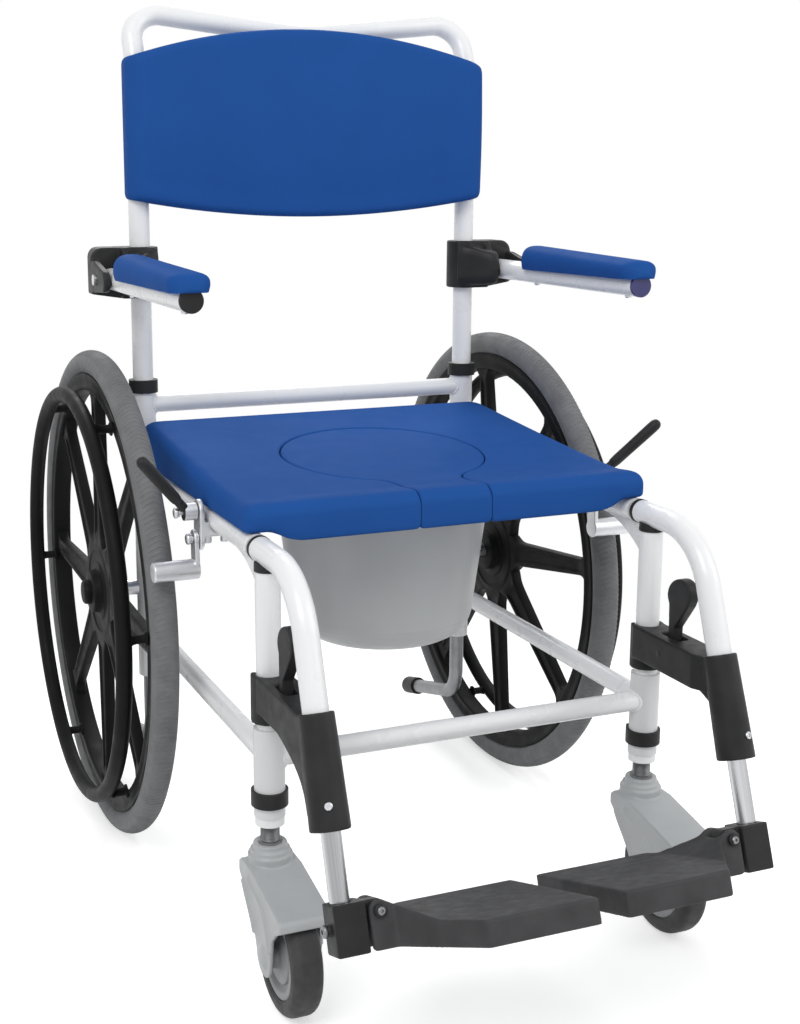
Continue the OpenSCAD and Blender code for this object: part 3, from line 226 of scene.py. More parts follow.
NODE_FINISHES = {
    "white_coat": ("front_legs", "rear_posts", "back_frame", "seat_rails", "lower_rails",
                   "front_cross_tube", "rear_cross_tube", "gussets", "pan_rails", "hanger_tube_left",
                   "hanger_tube_right"),
    "dull_steel": ("tipping_levers",),
    "white_plastic": ("leg_bushes",),
    # The leg sleeves carry painted shade: a darker copy of the frame coat
    "sleeve_coat": ("leg_sleeves",),
    "black_plastic": ("collars", "tipping_caps", "arm_plug_left", "hanger_bush_left", "hanger_bush_right",
                      "brake_lever_left", "brake_lever_right"),
    "violet_plastic": ("arm_plug_right",),
    "bright_steel": ("arm_pins", "brake_pins", "wheel_axles"),
    # The foot tubes carry painted reflection streaks in their colour
    "drawn_tube": ("foot_tube_left", "foot_tube_right"),
    "pail_plastic": ("bucket",),
    "castor_tread": ("castor_tyre_left", "castor_tyre_right"),
}


class CHAIR_OT_finishes(bpy.types.Operator):
    """Make the finishes and put them on the solids that stay in view"""

    bl_idname = "chair.finishes"
    bl_label = "Finishes"

    def execute(self, context):
        for name, (key, share, tone, rough, grain, more) in FINISH_TABLE.items():
            base = [v * share for v in getattr(context.scene.chair_colours, key)]
            make_finish(name, base, tone, rough, grain, **more)
        for finish, names in NODE_FINISHES.items():
            for name in names:
                paint(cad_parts[name], finish)
        return {"FINISHED"}


def paint(piece, finish):
    """Puts one finish on every face of a piece."""
    if not piece.material_slots:
        piece.data.materials.append(FINISHES[finish])
    for place in piece.material_slots:
        place.material = FINISHES[finish]


# Mesh helpers


def row(points):
    """Points in millimetres from the front leg axis, as metres in the frame of the solids."""
    return [(x * MM, y * MM + LEG_Y, z * MM) for x, y, z in points]


def new_piece(name, data):
    """An object in the scene around a mesh, a lamp or a camera."""
    piece = bpy.data.objects.new(name, data)
    bpy.context.scene.collection.objects.link(piece)
    return piece


def auto_smooth(piece, sharp=None):
    """Smooth faces, with sharp edges where faces meet at more than an angle in degrees."""
    piece.data.polygons.foreach_set("use_smooth", [True] * len(piece.data.polygons))
    if sharp:
        piece.data.set_sharp_from_angle(angle=math.radians(sharp))
    return piece


def add_mesh(name, points, faces, finish=None, sharp=None):
    """A smooth mesh object with its doubles merged and its faces turned outwards."""
    mesh = bpy.data.meshes.new(name)
    mesh.from_pydata(points, [], faces)
    shape = bmesh.new()
    shape.from_mesh(mesh)
    bmesh.ops.remove_doubles(shape, verts=shape.verts, dist=2e-6)
    bmesh.ops.dissolve_degenerate(shape, edges=shape.edges, dist=1e-7)
    bmesh.ops.recalc_face_normals(shape, faces=shape.faces)
    shape.to_mesh(mesh)
    shape.free()
    if finish:
        mesh.materials.append(FINISHES[finish])
    return auto_smooth(new_piece(name, mesh), sharp)


def grid(rows, cols, start=0, wrap=False):
    """Quads over rows of points, each row holding cols points."""
    quads = []
    for i in range(rows - 1):
        for j in range(cols if wrap else cols - 1):
            a = start + i * cols + j
            b = start + i * cols + (j + 1) % cols
            quads.append((a, b, b + cols, a + cols))
    return quads


def loft(rings):
    """Points and faces of a closed skin over rings of equally many points."""
    cols = len(rings[0])
    points = [p for ring in rings for p in ring]
    faces = grid(len(rings), cols, wrap=True)
    faces.append(tuple(range(cols)))
    faces.append(tuple(range(len(points) - cols, len(points)))[::-1])
    return points, faces


def lathe(outline, turns):
    """Points and faces of a closed outline of (radius, height) turned about Z, in millimetres."""
    points = []
    for k in range(turns):
        a = TAU * k / turns
        points += [(r * math.cos(a), r * math.sin(a), z) for r, z in outline]
    quads = grid(turns + 1, len(outline), wrap=True)
    return points, [tuple(v % len(points) for v in quad) for quad in quads]


def arc(cx, cy, r, a0, a1, n):
    """Points on a circle's arc between two angles in degrees."""
    turn = [math.radians(a0 + (a1 - a0) * i / n) for i in range(n + 1)]
    return [(cx + r * math.cos(a), cy + r * math.sin(a)) for a in turn]


def smooth_step(x, low, high):
    """0 below low, 1 above high and a smooth change between them."""
    t = min(1.0, max(0.0, (x - low) / (high - low)))
    return t * t * (3 - 2 * t)


def edge_drop(d, r):
    """How far a rounded edge of radius r lies below the face at a distance d from the edge."""
    if d >= r:
        return 0.0
    return r - math.sqrt(max(0.0, r * r - (r - max(0.0, d)) ** 2))


def apply_all(piece):
    """Replaces a piece's mesh by what its modifiers make of it."""
    graph = bpy.context.evaluated_depsgraph_get()
    graph.update()
    mesh = bpy.data.meshes.new_from_object(piece.evaluated_get(graph), depsgraph=graph)
    piece.modifiers.clear()
    old = piece.data
    piece.data = mesh
    bpy.data.meshes.remove(old)
    return piece


def subdivide(piece):
    """A live subdivision with one level in view and in render."""
    skin = piece.modifiers.new("Smooth skin", "SUBSURF")
    skin.levels = skin.render_levels = 1
    return piece


def solid_copy(name, node):
    """A loose copy of a solid's mesh, closed along its edges."""
    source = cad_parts[node]
    mesh = source.data.copy()
    mesh.transform(source.matrix_world)
    mesh.materials.clear()
    shape = bmesh.new()
    shape.from_mesh(mesh)
    bmesh.ops.remove_doubles(shape, verts=shape.verts, dist=5e-6)
    shape.to_mesh(mesh)
    shape.free()
    return new_piece(name, mesh)


def join(piece, *others):
    """Adds other pieces' meshes to a piece and removes them."""
    shape = bmesh.new()
    shape.from_mesh(piece.data)
    for other in others:
        shape.from_mesh(other.data)
        bpy.data.objects.remove(other)
    shape.to_mesh(piece.data)
    shape.free()
    return piece


def carve(piece, *cutters, crossing=True):
    """Cuts other pieces out of a piece, whose own faces may be crossing, and removes them."""
    for cutter in cutters:
        cut = piece.modifiers.new("Cut", "BOOLEAN")
        cut.object = cutter
        cut.operation = "DIFFERENCE"
        cut.solver = "EXACT"
        cut.use_self = crossing
    apply_all(piece)
    for cutter in cutters:
        bpy.data.objects.remove(cutter)
    return piece


def dress(piece, body, slot, *nodes):
    """Hangs a piece on its body and hides the solids it stands for; the slot argument is not used."""
    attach(piece, body)
    if nodes:
        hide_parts(*nodes)


def mould(piece, voxel, rounds, finish, body, slot, node):
    """One closed skin over a piece's solids, with its edges rounded off, in place of a solid."""
    skin = piece.modifiers.new("Skin", "REMESH")
    skin.mode = "VOXEL"
    skin.voxel_size = voxel
    skin.use_smooth_shade = True
    ease = piece.modifiers.new("Ease", "SMOOTH")
    ease.factor = 0.5
    ease.iterations = rounds
    apply_all(piece)
    piece.data.materials.clear()
    piece.data.materials.append(FINISHES[finish])
    dress(piece, body, slot, node)


def prism(outline, axis, low, high):
    """A prism along X, Y or Z over an outline of the other two coordinates."""
    spot = "XYZ".index(axis)
    rings = [row([(*p[:spot], d, *p[spot:]) for p in outline]) for d in (low, high)]
    return add_mesh("prism", *loft(rings))


def bar(path, radii, sides=10, name="bar", finish=None, sharp=None):
    """A round bar along a path of points in millimetres, with one radius for each point."""
    rings = []
    for k, (point, r) in enumerate(zip(path, radii)):
        ahead = Vector(path[min(k + 1, len(path) - 1)]) - Vector(path[max(k - 1, 0)])
        turn = ahead.to_track_quat("Z", "Y").to_matrix()
        ring = arc(0, 0, r, 0, 360 - 360 / sides, sides - 1)
        rings.append(row([Vector(point) + turn @ Vector((x, y, 0)) for x, y in ring]))
    return add_mesh(name, *loft(rings), finish, sharp)


def mirrored(half, middle=()):
    """An outline of (radius, height) and its mirror image below it."""
    return half + list(middle) + [(r, -z) for r, z in half[::-1]]


# Seat

SEAT_HALF = 235.0
SEAT_FRONT = 30.0
SEAT_REAR = 440.0
SEAT_UNDER = 473.0
SEAT_TOP = 498.0
APRON_UNDER = 461.0
LEDGE_Z = 482.0
PLAN_R = 12.0
HOLE_R = 120.0
HOLE_Y = 227.0
LEDGE_R = 108.0
SLOT_HALF = 42.0
SLOT_R = 30.0
RIM_R = 15.0
UNDER_R = 4.0
INSERT_GAP = 0.8
INSERT_REST = 0.3
FRONT_STEPS = (0, 0.5, 1.4, 2.8, 4.6, 7, 10, 13, 17, 24, 33, 44, 55)


def seat_height(x, y, dish):
    """Top of the seat before its edges are rounded: a front lip, then a hollow that rises to the rear."""
    t = max(0.0, (y - 72) / 358)
    z = SEAT_TOP + 27 * t ** 1.2
    z += 3.2 * (1 - smooth_step(y, 44, 84))
    inside = smooth_step(210 - abs(x), 0, 90) * smooth_step(y, 60, 130) * smooth_step(430 - y, 0, 90)
    return z - dish * inside


def rim_distance(x, y):
    """Distance inwards from the seat's outline in plan."""
    qx = abs(x) - SEAT_HALF + PLAN_R
    qy = abs(y - (SEAT_FRONT + SEAT_REAR) / 2) - (SEAT_REAR - SEAT_FRONT) / 2 + PLAN_R
    out = math.hypot(max(qx, 0), max(qy, 0)) + min(max(qx, qy), 0)
    return PLAN_R - out


def seat_under(x, y):
    """Underside of the seat, with an apron along the front."""
    apron = (1 - smooth_step(y, 54, 62)) * smooth_step(197 - abs(x), 0, 9)
    return SEAT_UNDER - (SEAT_UNDER - APRON_UNDER) * apron + edge_drop(rim_distance(x, y), UNDER_R)


def seat_low(x, y, d):
    """Underside of a seat part at a distance d from the keyhole's edge, which is rounded at the front."""
    return seat_under(x, y) + edge_drop(d, UNDER_R) * (1 - smooth_step(y, 40, 60))


def keyhole(gap, ring):
    """Half of the keyhole from its front corner to the rear, on +X: one point for each station."""
    cx = SLOT_HALF + SLOT_R
    cy = HOLE_Y - math.sqrt((HOLE_R + SLOT_R) ** 2 - cx ** 2)
    turn = math.degrees(math.atan2(cy - HOLE_Y, cx))
    run = cy - SEAT_FRONT
    pts = [(SLOT_HALF - gap, SEAT_FRONT + run * s / (FRONT_STEPS[-1] + 10)) for s in FRONT_STEPS]
    if ring < HOLE_R:
        pts += [(SLOT_HALF - gap, y) for _, y in arc(cx, cy, SLOT_R + gap, 180, 180 + turn, 8)[:-1]]
        start = -math.degrees(math.acos((SLOT_HALF - gap) / (ring - gap)))
        return pts + arc(0, HOLE_Y, ring - gap, start, 90, 40)
    pts += arc(cx, cy, SLOT_R + gap, 180, 180 + turn, 8)[:-1]
    return pts + arc(0, HOLE_Y, ring - gap, turn, 90, 40)


def seat_rim(count):
    """Half of the seat's outline beside the front stations, then round to the rear, on +X."""
    side = [(SEAT_HALF, 97.0), (SEAT_HALF, SEAT_REAR - PLAN_R)]
    side += arc(SEAT_HALF - PLAN_R, SEAT_REAR - PLAN_R, PLAN_R, 0, 90, 12) + [(0.0, SEAT_REAR)]
    along = np.concatenate([[0], np.cumsum([math.dist(a, b) for a, b in zip(side, side[1:])])])
    want = np.linspace(0, along[-1], count)
    xs = np.interp(want, along, [p[0] for p in side])
    ys = np.interp(want, along, [p[1] for p in side])
    return list(zip(xs, ys))


def both_halves(half):
    """A path on +X and its mirror image, from the left front corner to the right one."""
    return [(-x, y) for x, y in half] + half[-2::-1]


def close_keyhole(points, faces, cols, edge, rim, ledge, z):
    """Joins two skins, at their columns along the keyhole, by a shelf, and closes their front ends."""
    under = len(points) // 2
    rows = under // cols
    shelf = len(points)
    for (ax, ay), (bx, by) in zip(rim, ledge):
        points += [(ax, ay, z), (bx, by, z)]
    for i in range(rows - 1):
        a, b = i * cols + edge, (i + 1) * cols + edge
        s, t = shelf + 2 * i, shelf + 2 * i + 2
        faces += [(a, b, t, s), (s, t, t + 1, s + 1), (s + 1, t + 1, under + b, under + a)]
    first = 0 if edge else 1
    for i, s in ((0, shelf), (rows - 1, len(points) - 2)):
        a = i * cols + edge
        b = a - 1 if edge else a + 1
        faces.append((a, b, under + b, under + a, s))
        a = i * cols + first
        faces += [(j, j + 1, under + j + 1, under + j) for j in range(a, a + cols - 2)]


def build_seat_pad(sizes):
    """The pad around the commode opening: two skins over one plan, joined by walls."""
    round_r = sizes.groove / MM
    dish = sizes.dish / MM
    half = keyhole(0, HOLE_R)
    low_half = keyhole(0, LEDGE_R)
    front = []
    for x, y in half[:len(FRONT_STEPS)]:
        front.append((SEAT_HALF - edge_drop(y - SEAT_FRONT, PLAN_R), y))
    rim = both_halves(front + seat_rim(len(half) - len(front)))
    inner = both_halves(half)
    ledge = both_halves(low_half)
    near = (0, 0.25, 0.7, 1.4, round_r, 5, 9)
    far = (24, 19, 15.5, 12, 9, 6.5, 4.4, 2.8, 1.5, 0.6, 0)
    middle = np.linspace(0, 1, 12)[1:-1]
    tops, lows = [], []
    for (ax, ay), (lx, ly), (bx, by) in zip(inner, ledge, rim):
        length = math.hypot(bx - ax, by - ay)
        span = [d / length for d in near]
        last = [1 - d / length for d in far]
        span += [span[-1] + (last[0] - span[-1]) * m for m in middle] + last
        top, low = [], []
        for t in span:
            x, y = ax + (bx - ax) * t, ay + (by - ay) * t
            drop = edge_drop(rim_distance(x, y), RIM_R) + edge_drop(t * length, round_r)
            top.append((x, y, seat_height(x, y, dish) - drop))
            x, y = lx + (bx - lx) * t, ly + (by - ly) * t
            low.append((x, y, seat_low(x, y, t * length)))
        tops.append(top)
        lows.append(low)
    rows, cols = len(tops), len(tops[0])
    points = [p for r in tops for p in r] + [p for r in lows for p in r]
    under = rows * cols
    faces = grid(rows, cols) + grid(rows, cols, under)
    for a in range(cols - 1, under - cols, cols):
        faces.append((a, a + cols, under + a + cols, under + a))
    close_keyhole(points, faces, cols, 0, inner, ledge, LEDGE_Z)
    piece = subdivide(add_mesh("seat_foam", row(points), faces, "blue_pad"))
    dress(piece, "frame", "blue_pad", "seat_pad")


def build_seat_insert(sizes):
    """The keyhole insert, flush with the pad around it and resting on its ledge."""
    round_r = sizes.groove / MM
    dish = sizes.dish / MM
    half = keyhole(INSERT_GAP, HOLE_R)
    rim = both_halves(half)
    plug = both_halves(keyhole(INSERT_GAP, LEDGE_R))
    rows = len(rim)
    straight = len(FRONT_STEPS) + 8
    spine = []
    for i in range(len(half)):
        t = max(0, i - straight) / (len(half) - 1 - straight)
        y = half[min(i, straight)][1]
        spine.append((0.0, y + (HOLE_Y - y) * min(1.0, 1.6 * t)))
    spine = both_halves(spine)
    far = (9, 5, round_r, 1.4, 0.7, 0.25, 0)
    points, faces = [], []

    def skin(outline, height):
        start = len(points)
        for (ax, ay), (bx, by) in zip(spine, outline):
            length = math.hypot(bx - ax, by - ay)
            last = [1 - d / length for d in far]
            for t in [last[0] * m for m in np.linspace(0, 1, 12)[:-1]] + last:
                x, y = ax + (bx - ax) * t, ay + (by - ay) * t
                points.append((x, y, height(x, y, (1 - t) * length)))
        faces.extend(grid(rows, (len(points) - start) // rows, start))

    def top_height(x, y, d):
        return seat_height(x, y, dish) - edge_drop(y - SEAT_FRONT, RIM_R) - edge_drop(d, round_r)

    skin(rim, top_height)
    cols = len(points) // rows
    skin(plug, seat_low)
    close_keyhole(points, faces, cols, cols - 1, rim, plug, LEDGE_Z + INSERT_REST)
    piece = subdivide(add_mesh("seat_insert_foam", row(points), faces, "blue_pad"))
    dress(piece, "seat_insert", "blue_pad", "seat_insert")


class CHAIR_OT_seat(bpy.types.Operator):
    """Make the moulded seat pad and its lift-out insert"""

    bl_idname = "chair.seat"
    bl_label = "Seat and insert"

    def execute(self, context):
        build_seat_pad(context.scene.chair_sizes)
        build_seat_insert(context.scene.chair_sizes)
        return {"FINISHED"}


# Backrest

REST_HALF = 238.0
REST_RIDGE = 214.0
REST_BACK = 470.0
CHANNEL_R = 13.05


def rest_section(x, lip):
    """Closed section of the backrest at one station, from the bottom of the front round to the back."""
    arch = 1 - (x / REST_HALF) ** 2
    end = REST_HALF - abs(x)
    face = POST_Y - 33 + 11 * max(0.0, 1 - (x / REST_RIDGE) ** 2) + edge_drop(end, 24)
    low = 794 - 23 * arch + edge_drop(end, 4)
    high = 960 + 40 * arch - edge_drop(end, 5)
    r = min(10.0, (REST_BACK - face) * 0.6)
    pts = arc(face + r, low + r, r, 270, 180, 7)
    for k in range(1, 20):
        t = k / 20
        z = low + r + (high - low - 2 * r) * t
        up = z - low
        bead = lip * (math.exp(-((up - 12) / 5.0) ** 2) - 0.5 * math.exp(-((up - 25) / 6.0) ** 2))
        pts.append((face - 2.2 * math.sin(math.pi * t) - bead * smooth_step(end, 6, 30), z))
    pts += arc(face + r, high - r, r, 180, 90, 7)
    r2 = min(4.0, r)
    pts += arc(REST_BACK - r2, high - r2, r2, 90, 0, 3)
    pts += [(REST_BACK, low + (high - low) * k / 8) for k in range(7, 0, -1)]
    pts += arc(REST_BACK - r2, low + r2, r2, 360, 270, 3)
    return [(x, y, z) for y, z in pts]


class CHAIR_OT_backrest(bpy.types.Operator):
    """Make the moulded backrest, hollowed for the uprights behind it"""

    bl_idname = "chair.backrest"
    bl_label = "Backrest"

    def execute(self, context):
        lip = context.scene.chair_sizes.lip / MM
        stations = [-REST_HALF * math.cos(math.pi * i / 64) * 0.99999 for i in range(65)]
        rings = [row(rest_section(x, lip)) for x in stations]
        piece = add_mesh("backrest_foam", *loft(rings), "blue_pad")
        for _, sign in SIDES:
            pts = [(sign * FRAME_X + x, POST_Y + y) for x, y in arc(0, 0, CHANNEL_R, 180, 360, 16)]
            pts = [(pts[0][0], POST_Y + 30)] + pts + [(pts[-1][0], POST_Y + 30)]
            carve(piece, prism(pts, "Z", 740, 1040), crossing=False)
        auto_smooth(piece, 40)
        dress(piece, "frame", "blue_pad", "backrest")
        return {"FINISHED"}


# Arm pads

ARM_X = 264.0
ARM_Z = 700.0
ARM_FRONT = 106.0
ARM_R = (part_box("arm_tube_right")[1].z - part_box("arm_tube_right")[0].z) / 2 / MM
PAD_FRONT = 95.0
PAD_REAR = 355.0
PAD_HALF = 23.0
PAD_LOW = 5.0
PAD_TOP = 35.0
PAD_FALL = 7.0
PAD_LIFT = 3.0
PAD_POWER = 0.78
GROOVE_R = 13.0


def pad_section(y):
    """Closed section of an arm pad about the tube's axis: domed top, tucked sides and tube groove."""
    end = min(y - PAD_FRONT, PAD_REAR - y)
    along = (y - PAD_FRONT) / (PAD_REAR - PAD_FRONT)
    half = PAD_HALF - edge_drop(end, 20)
    top = PAD_TOP - PAD_FALL * (1 - along) - edge_drop(end, 13)
    low = PAD_LOW + PAD_LIFT * (1 - along) + edge_drop(end, 5)
    side = min(9.0, 0.4 * (top - low))
    tube = GROOVE_R * smooth_step(y, ARM_FRONT - 8.0, ARM_FRONT - 5.0)
    pts = []
    for k in range(49):
        a = math.radians(-28 + 236 * k / 48)
        c, s = math.cos(a), math.sin(a)
        x = half * math.copysign(abs(c) ** PAD_POWER, c)
        if s >= 0:
            z = low + side + (top - low - side) * abs(s) ** PAD_POWER
        else:
            z = low + side - side * (abs(s) / 0.4695) ** 1.3
        pts.append((x, z))
    reach = min(math.sqrt(max(9.0, GROOVE_R ** 2 - low * low)), 0.8 * half)
    for k in range(17):
        x = -reach + 2 * reach * k / 16
        lift = math.sqrt(max(0.0, tube * tube - x * x)) if tube > 0 else 0.0
        pts.append((x, max(low, lift)))
    return pts


class CHAIR_OT_arm_pads(bpy.types.Operator):
    """Make the two moulded arm pads and the rails under them"""

    bl_idname = "chair.arm_pads"
    bl_label = "Arm pads and rails"

    def execute(self, context):
        ends = [0.05, 0.5, 1.4, 2.8, 4.6, 7, 10, 13, 15.5, 18, 21, 26]
        stations = [PAD_FRONT + d for d in ends] + list(np.linspace(PAD_FRONT + 34, PAD_REAR - 34, 30))
        stations += [PAD_REAR - d for d in ends[::-1]]
        for side, sign in SIDES:
            rings = [row([(sign * (ARM_X + x), y, ARM_Z + z) for x, z in pad_section(y)]) for y in stations]
            piece = add_mesh("arm_foam_" + side, *loft(rings), "blue_pad", 50)
            dress(piece, "arm_" + side, "blue_pad", "arm_pad_" + side)
            path = [(sign * ARM_X, y, ARM_Z) for y in (445, 444, 380, 240, ARM_FRONT)]
            radii = [ARM_R - 0.8] + [ARM_R] * 4
            piece = bar(path, radii, 64, "arm_rail_" + side, "white_coat", 40)
            dress(piece, "arm_" + side, "white_coat", "arm_tube_" + side)
        return {"FINISHED"}


# Moulded plastic parts

CHEEK_X = 286.7
BRACKET_REAR = POST_Y + 21.9
LEVER_PIN = (-52.0, 320.0)
LEVER_HALF = 6.3
LEVER_DETAIL = 0.0008


def bracket_flank(sign):
    """The rounded flank that carries an arm bracket's clamp over into its inner cheek."""
    rings = []
    for x in (204, 210, 216, 222, 228, 234, 239, 243, 249.5):
        t = smooth_step(x, 203, 246)
        y, low, high = 444 - 31 * t, 676 + 4 * t, 736 - 11 * t
        side = [(448, low), (min(447, y + 9), low + 1), (y + 2.5, low + 5), (y, low + 13), (y, high - 13)]
        side += [(y + 2.5, high - 5), (min(447, y + 9), high - 1), (448, high)]
        rings.append(row([(sign * x, a, b) for a, b in side]))
    return add_mesh("bracket_flank", *loft(rings))


def cheek_corner(sign, foot, r, high, past):
    """Outline of a cutter that rounds a corner of the outer cheek, by its foot, radius and reach."""
    corner = arc(CHEEK_X - r, foot, r, 0, 90, 10)
    corner += [(CHEEK_X - r, foot + high), (CHEEK_X + past, foot + high), (CHEEK_X + past, foot)]
    return [(sign * x, b) for x, b in corner]


def build_brackets(fine):
    """The arm brackets, with a flank, a crest and a tapered cheek on each."""
    piece = solid_copy("arm_clamps", "arm_brackets")
    for _, sign in SIDES:
        join(piece, bracket_flank(sign))
        crest = [(249, 736.8), (249, 733), (287, 718), (287, 736.8)]
        crest = prism([(sign * x, z) for x, z in crest], "Y", 452.5, BRACKET_REAR)
        join(piece, carve(crest, prism(cheek_corner(sign, 722, 15, 28, 9), "Y", 440, POST_Y + 40)))
        taper = [(397, 700), (397, 711), (404, 714), (440, 722), (BRACKET_REAR, 722), (BRACKET_REAR, 700)]
        join(piece, prism(taper, "X", sign * 278.2, sign * (CHEEK_X - 0.2)))
        carve(piece, prism(cheek_corner(sign, POST_Y + 2, 20, 24, 4), "Z", 660, 750))
    mould(piece, fine, 16, "black_plastic", "frame", "black_plastic", "arm_brackets")


class CHAIR_OT_mouldings(bpy.types.Operator):
    """Make the arm brackets, latch arms, release levers, foot blocks and footplates"""

    bl_idname = "chair.mouldings"
    bl_label = "Moulded plastic parts"

    def execute(self, context):
        fine = context.scene.chair_sizes.mould
        black = "black_plastic"
        build_brackets(fine)
        y, z = LEVER_PIN
        neck = [(y + a, z + b) for a, b in ((-6.5, 30), (-28, 59), (6, 59), (4.5, 30))]
        for side, sign in SIDES:
            piece = solid_copy("latch_arm_" + side, "latch_sleeve_" + side)
            for ends in ((-15.4, -19.8, -20.6), (14.8, 15.8, 16.3)):
                join(piece, bar([(sign * (FRAME_X + d), y, z) for d in ends], [3.6, 3.6, 2.6], 20))
            mould(piece, fine, 6, black, "hanger_" + side, black, "latch_sleeve_" + side)
            piece = solid_copy("thumb_lever_" + side, "release_lever_" + side)
            join(piece, prism(neck, "X", sign * (FRAME_X - LEVER_HALF), sign * (FRAME_X + LEVER_HALF)))
            mould(piece, LEVER_DETAIL, 24, black, "release_" + side, black, "release_lever_" + side)
            piece = solid_copy("foot_block_" + side, "foot_bracket_" + side)
            mould(piece, fine, 6, black, "foot_support_" + side, black, "foot_bracket_" + side)
            piece = solid_copy("foot_tread_" + side, "footplate_" + side)
            mould(piece, 1.3 * fine, 9, "tread_plastic", "footplate_" + side, black, "footplate_" + side)
        return {"FINISHED"}


# Castors

TRAIL = 54.0
CASTOR_R = 62.5
CASTOR_Z = 158.0
FORK_HALF = 27.5
BUSH_Z = 177.7
SEAM_R = 2.3
SEAM = [(-9, 126), (-22, 122), (-38, 119.5), (-49, 115), (-58, 107), (-65, 97), (-70, 86), (-73, 76)]
EDGE = [(8, 118), (-2, 106), (-13, 95), (-22, 85), (-28, 76)]


def build_housing(fine, side, x):
    """A castor housing with ridges on both faces and rounded ends over the axle."""
    piece = solid_copy("castor_housing_" + side, "castor_fork_" + side)
    high = [(-60, CASTOR_Z), (60, CASTOR_Z), (60, 300), (-60, 300)]
    square = ((-14, -14), (14, -14), (14, 14), (-14, 14))
    square = [(-TRAIL + dy, CASTOR_R + dz) for dy, dz in square]
    cuts = [prism(high, "X", x - 60, x + 60)]
    cuts += [prism(square, "X", x + k * FORK_HALF, x + k * (FORK_HALF + 20)) for k in (-1, 1)]
    carve(piece, *cuts)
    for face in (-1, 1):
        for path in (SEAM, EDGE):
            join(piece, bar([(x + face * FORK_HALF, y, z) for y, z in path], [SEAM_R] * len(path)))
        end = [(x + face * (FORK_HALF + d), -TRAIL, CASTOR_R) for d in (-2.0, 0.8, 2.4, 3.2)]
        join(piece, bar(end, [13, 12, 9, 4], 32))
    mould(piece, 0.9 * fine, 4, "grey_plastic", "castor_" + side, "grey_plastic", "castor_fork_" + side)


def build_stem(side, x):
    """The threaded stem between a castor and its leg, on a round washer."""
    outline = [(0.0, -2), (12.5, -2), (12.5, 2.6), (10.0, 3)]
    outline = [(r, CASTOR_Z + h) for r, h in outline]
    z = CASTOR_Z + 3.4
    while z < BUSH_Z - 1.6:
        outline += [(9.9, z), (9.0, z + 0.75)]
        z += 1.5
    outline += [(9.6, BUSH_Z - 0.3), (0.0, BUSH_Z - 0.3)]
    points, faces = lathe(outline, 40)
    points = row([(x + a, b, c) for a, b, c in points])
    piece = add_mesh("castor_stem_" + side, points, faces, "dull_steel", 35)
    dress(piece, "castor_" + side, "bright_steel")


def build_disc(side, x):
    """The dished disc of a castor wheel."""
    half = [(4.4, 22.9), (10.6, 22.9), (11.8, 22), (13, 15.4), (14.5, 14.4), (26, 13.2), (29, 12)]
    half += [(30.5, 9.4), (33.5, 9), (35.4, 10.4), (36.6, 13), (38, 13.9), (43.6, 13.9), (44.9, 12.8)]
    points, faces = lathe(mirrored(half), 72)
    points = row([(x + c, -TRAIL + a, CASTOR_R + b) for a, b, c in points])
    piece = add_mesh("castor_disc_" + side, points, faces, "hub_plastic", 35)
    dress(piece, "castor_wheel_" + side, "grey_plastic", "castor_hub_" + side)


class CHAIR_OT_castors(bpy.types.Operator):
    """Make the castor housings with their side seams, the threaded stems and the wheel discs"""

    bl_idname = "chair.castors"
    bl_label = "Castor housings"

    def execute(self, context):
        for side, sign in SIDES:
            build_housing(context.scene.chair_sizes.mould, side, sign * FRAME_X)
            build_stem(side, sign * FRAME_X)
            build_disc(side, sign * FRAME_X)
        return {"FINISHED"}


# Repeated details

COPY_NODES = {
    "source": ("NodeGroupInput",),
    "sink": ("NodeGroupOutput",),
    "copies": ("GeometryNodeInstanceOnPoints",),
    "real": ("GeometryNodeRealizeInstances",),
    "cover": ("GeometryNodeSetMaterial",),
}
COPY_LINKS = (
    ("copies", "Instances", "real", "Geometry"),
    ("real", "Geometry", "cover", "Geometry"),
    ("source", "Finish", "cover", "Material"),
    ("cover", "Geometry", "sink", "Geometry"),
)


def copies_tree(name, sockets, nodes, links):
    """A geometry tree that sets copies on points, makes them real and gives them their finish."""
    tree = bpy.data.node_groups.new(name, "GeometryNodeTree")
    for label, kind in {"Geometry": "Geometry", **sockets, "Finish": "Material"}.items():
        tree.interface.new_socket(label, in_out="INPUT", socket_type="NodeSocket" + kind)
    tree.interface.new_socket("Geometry", in_out="OUTPUT", socket_type="NodeSocketGeometry")
    add_nodes(tree, {**COPY_NODES, **nodes}, (*COPY_LINKS, *links))
    return tree


def ring_tree():
    """Copies of a piece set evenly around the Z axis."""
    nodes = {
        "line": ("GeometryNodeMeshLine", {"Offset": (0, 0, 0)}),
        "index": ("GeometryNodeInputIndex",),
        "step": ("ShaderNodeMath", {0: TAU}, {"operation": "DIVIDE"}),
        "turn": ("ShaderNodeMath", {}, {"operation": "MULTIPLY_ADD"}),
        "angles": ("ShaderNodeCombineXYZ",),
        "euler": ("FunctionNodeEulerToRotation",),
    }
    links = (
        ("source", "Count", "line", "Count"), ("source", "Count", "step", 1), ("index", 0, "turn", 0),
        ("step", 0, "turn", 1), ("source", "Start", "turn", 2), ("turn", 0, "angles", "Z"),
        ("angles", 0, "euler", 0), ("line", "Mesh", "copies", "Points"),
        ("source", "Geometry", "copies", "Instance"), ("euler", 0, "copies", "Rotation"),
    )
    return copies_tree("Ring of copies", {"Count": "Int", "Start": "Float"}, nodes, links)


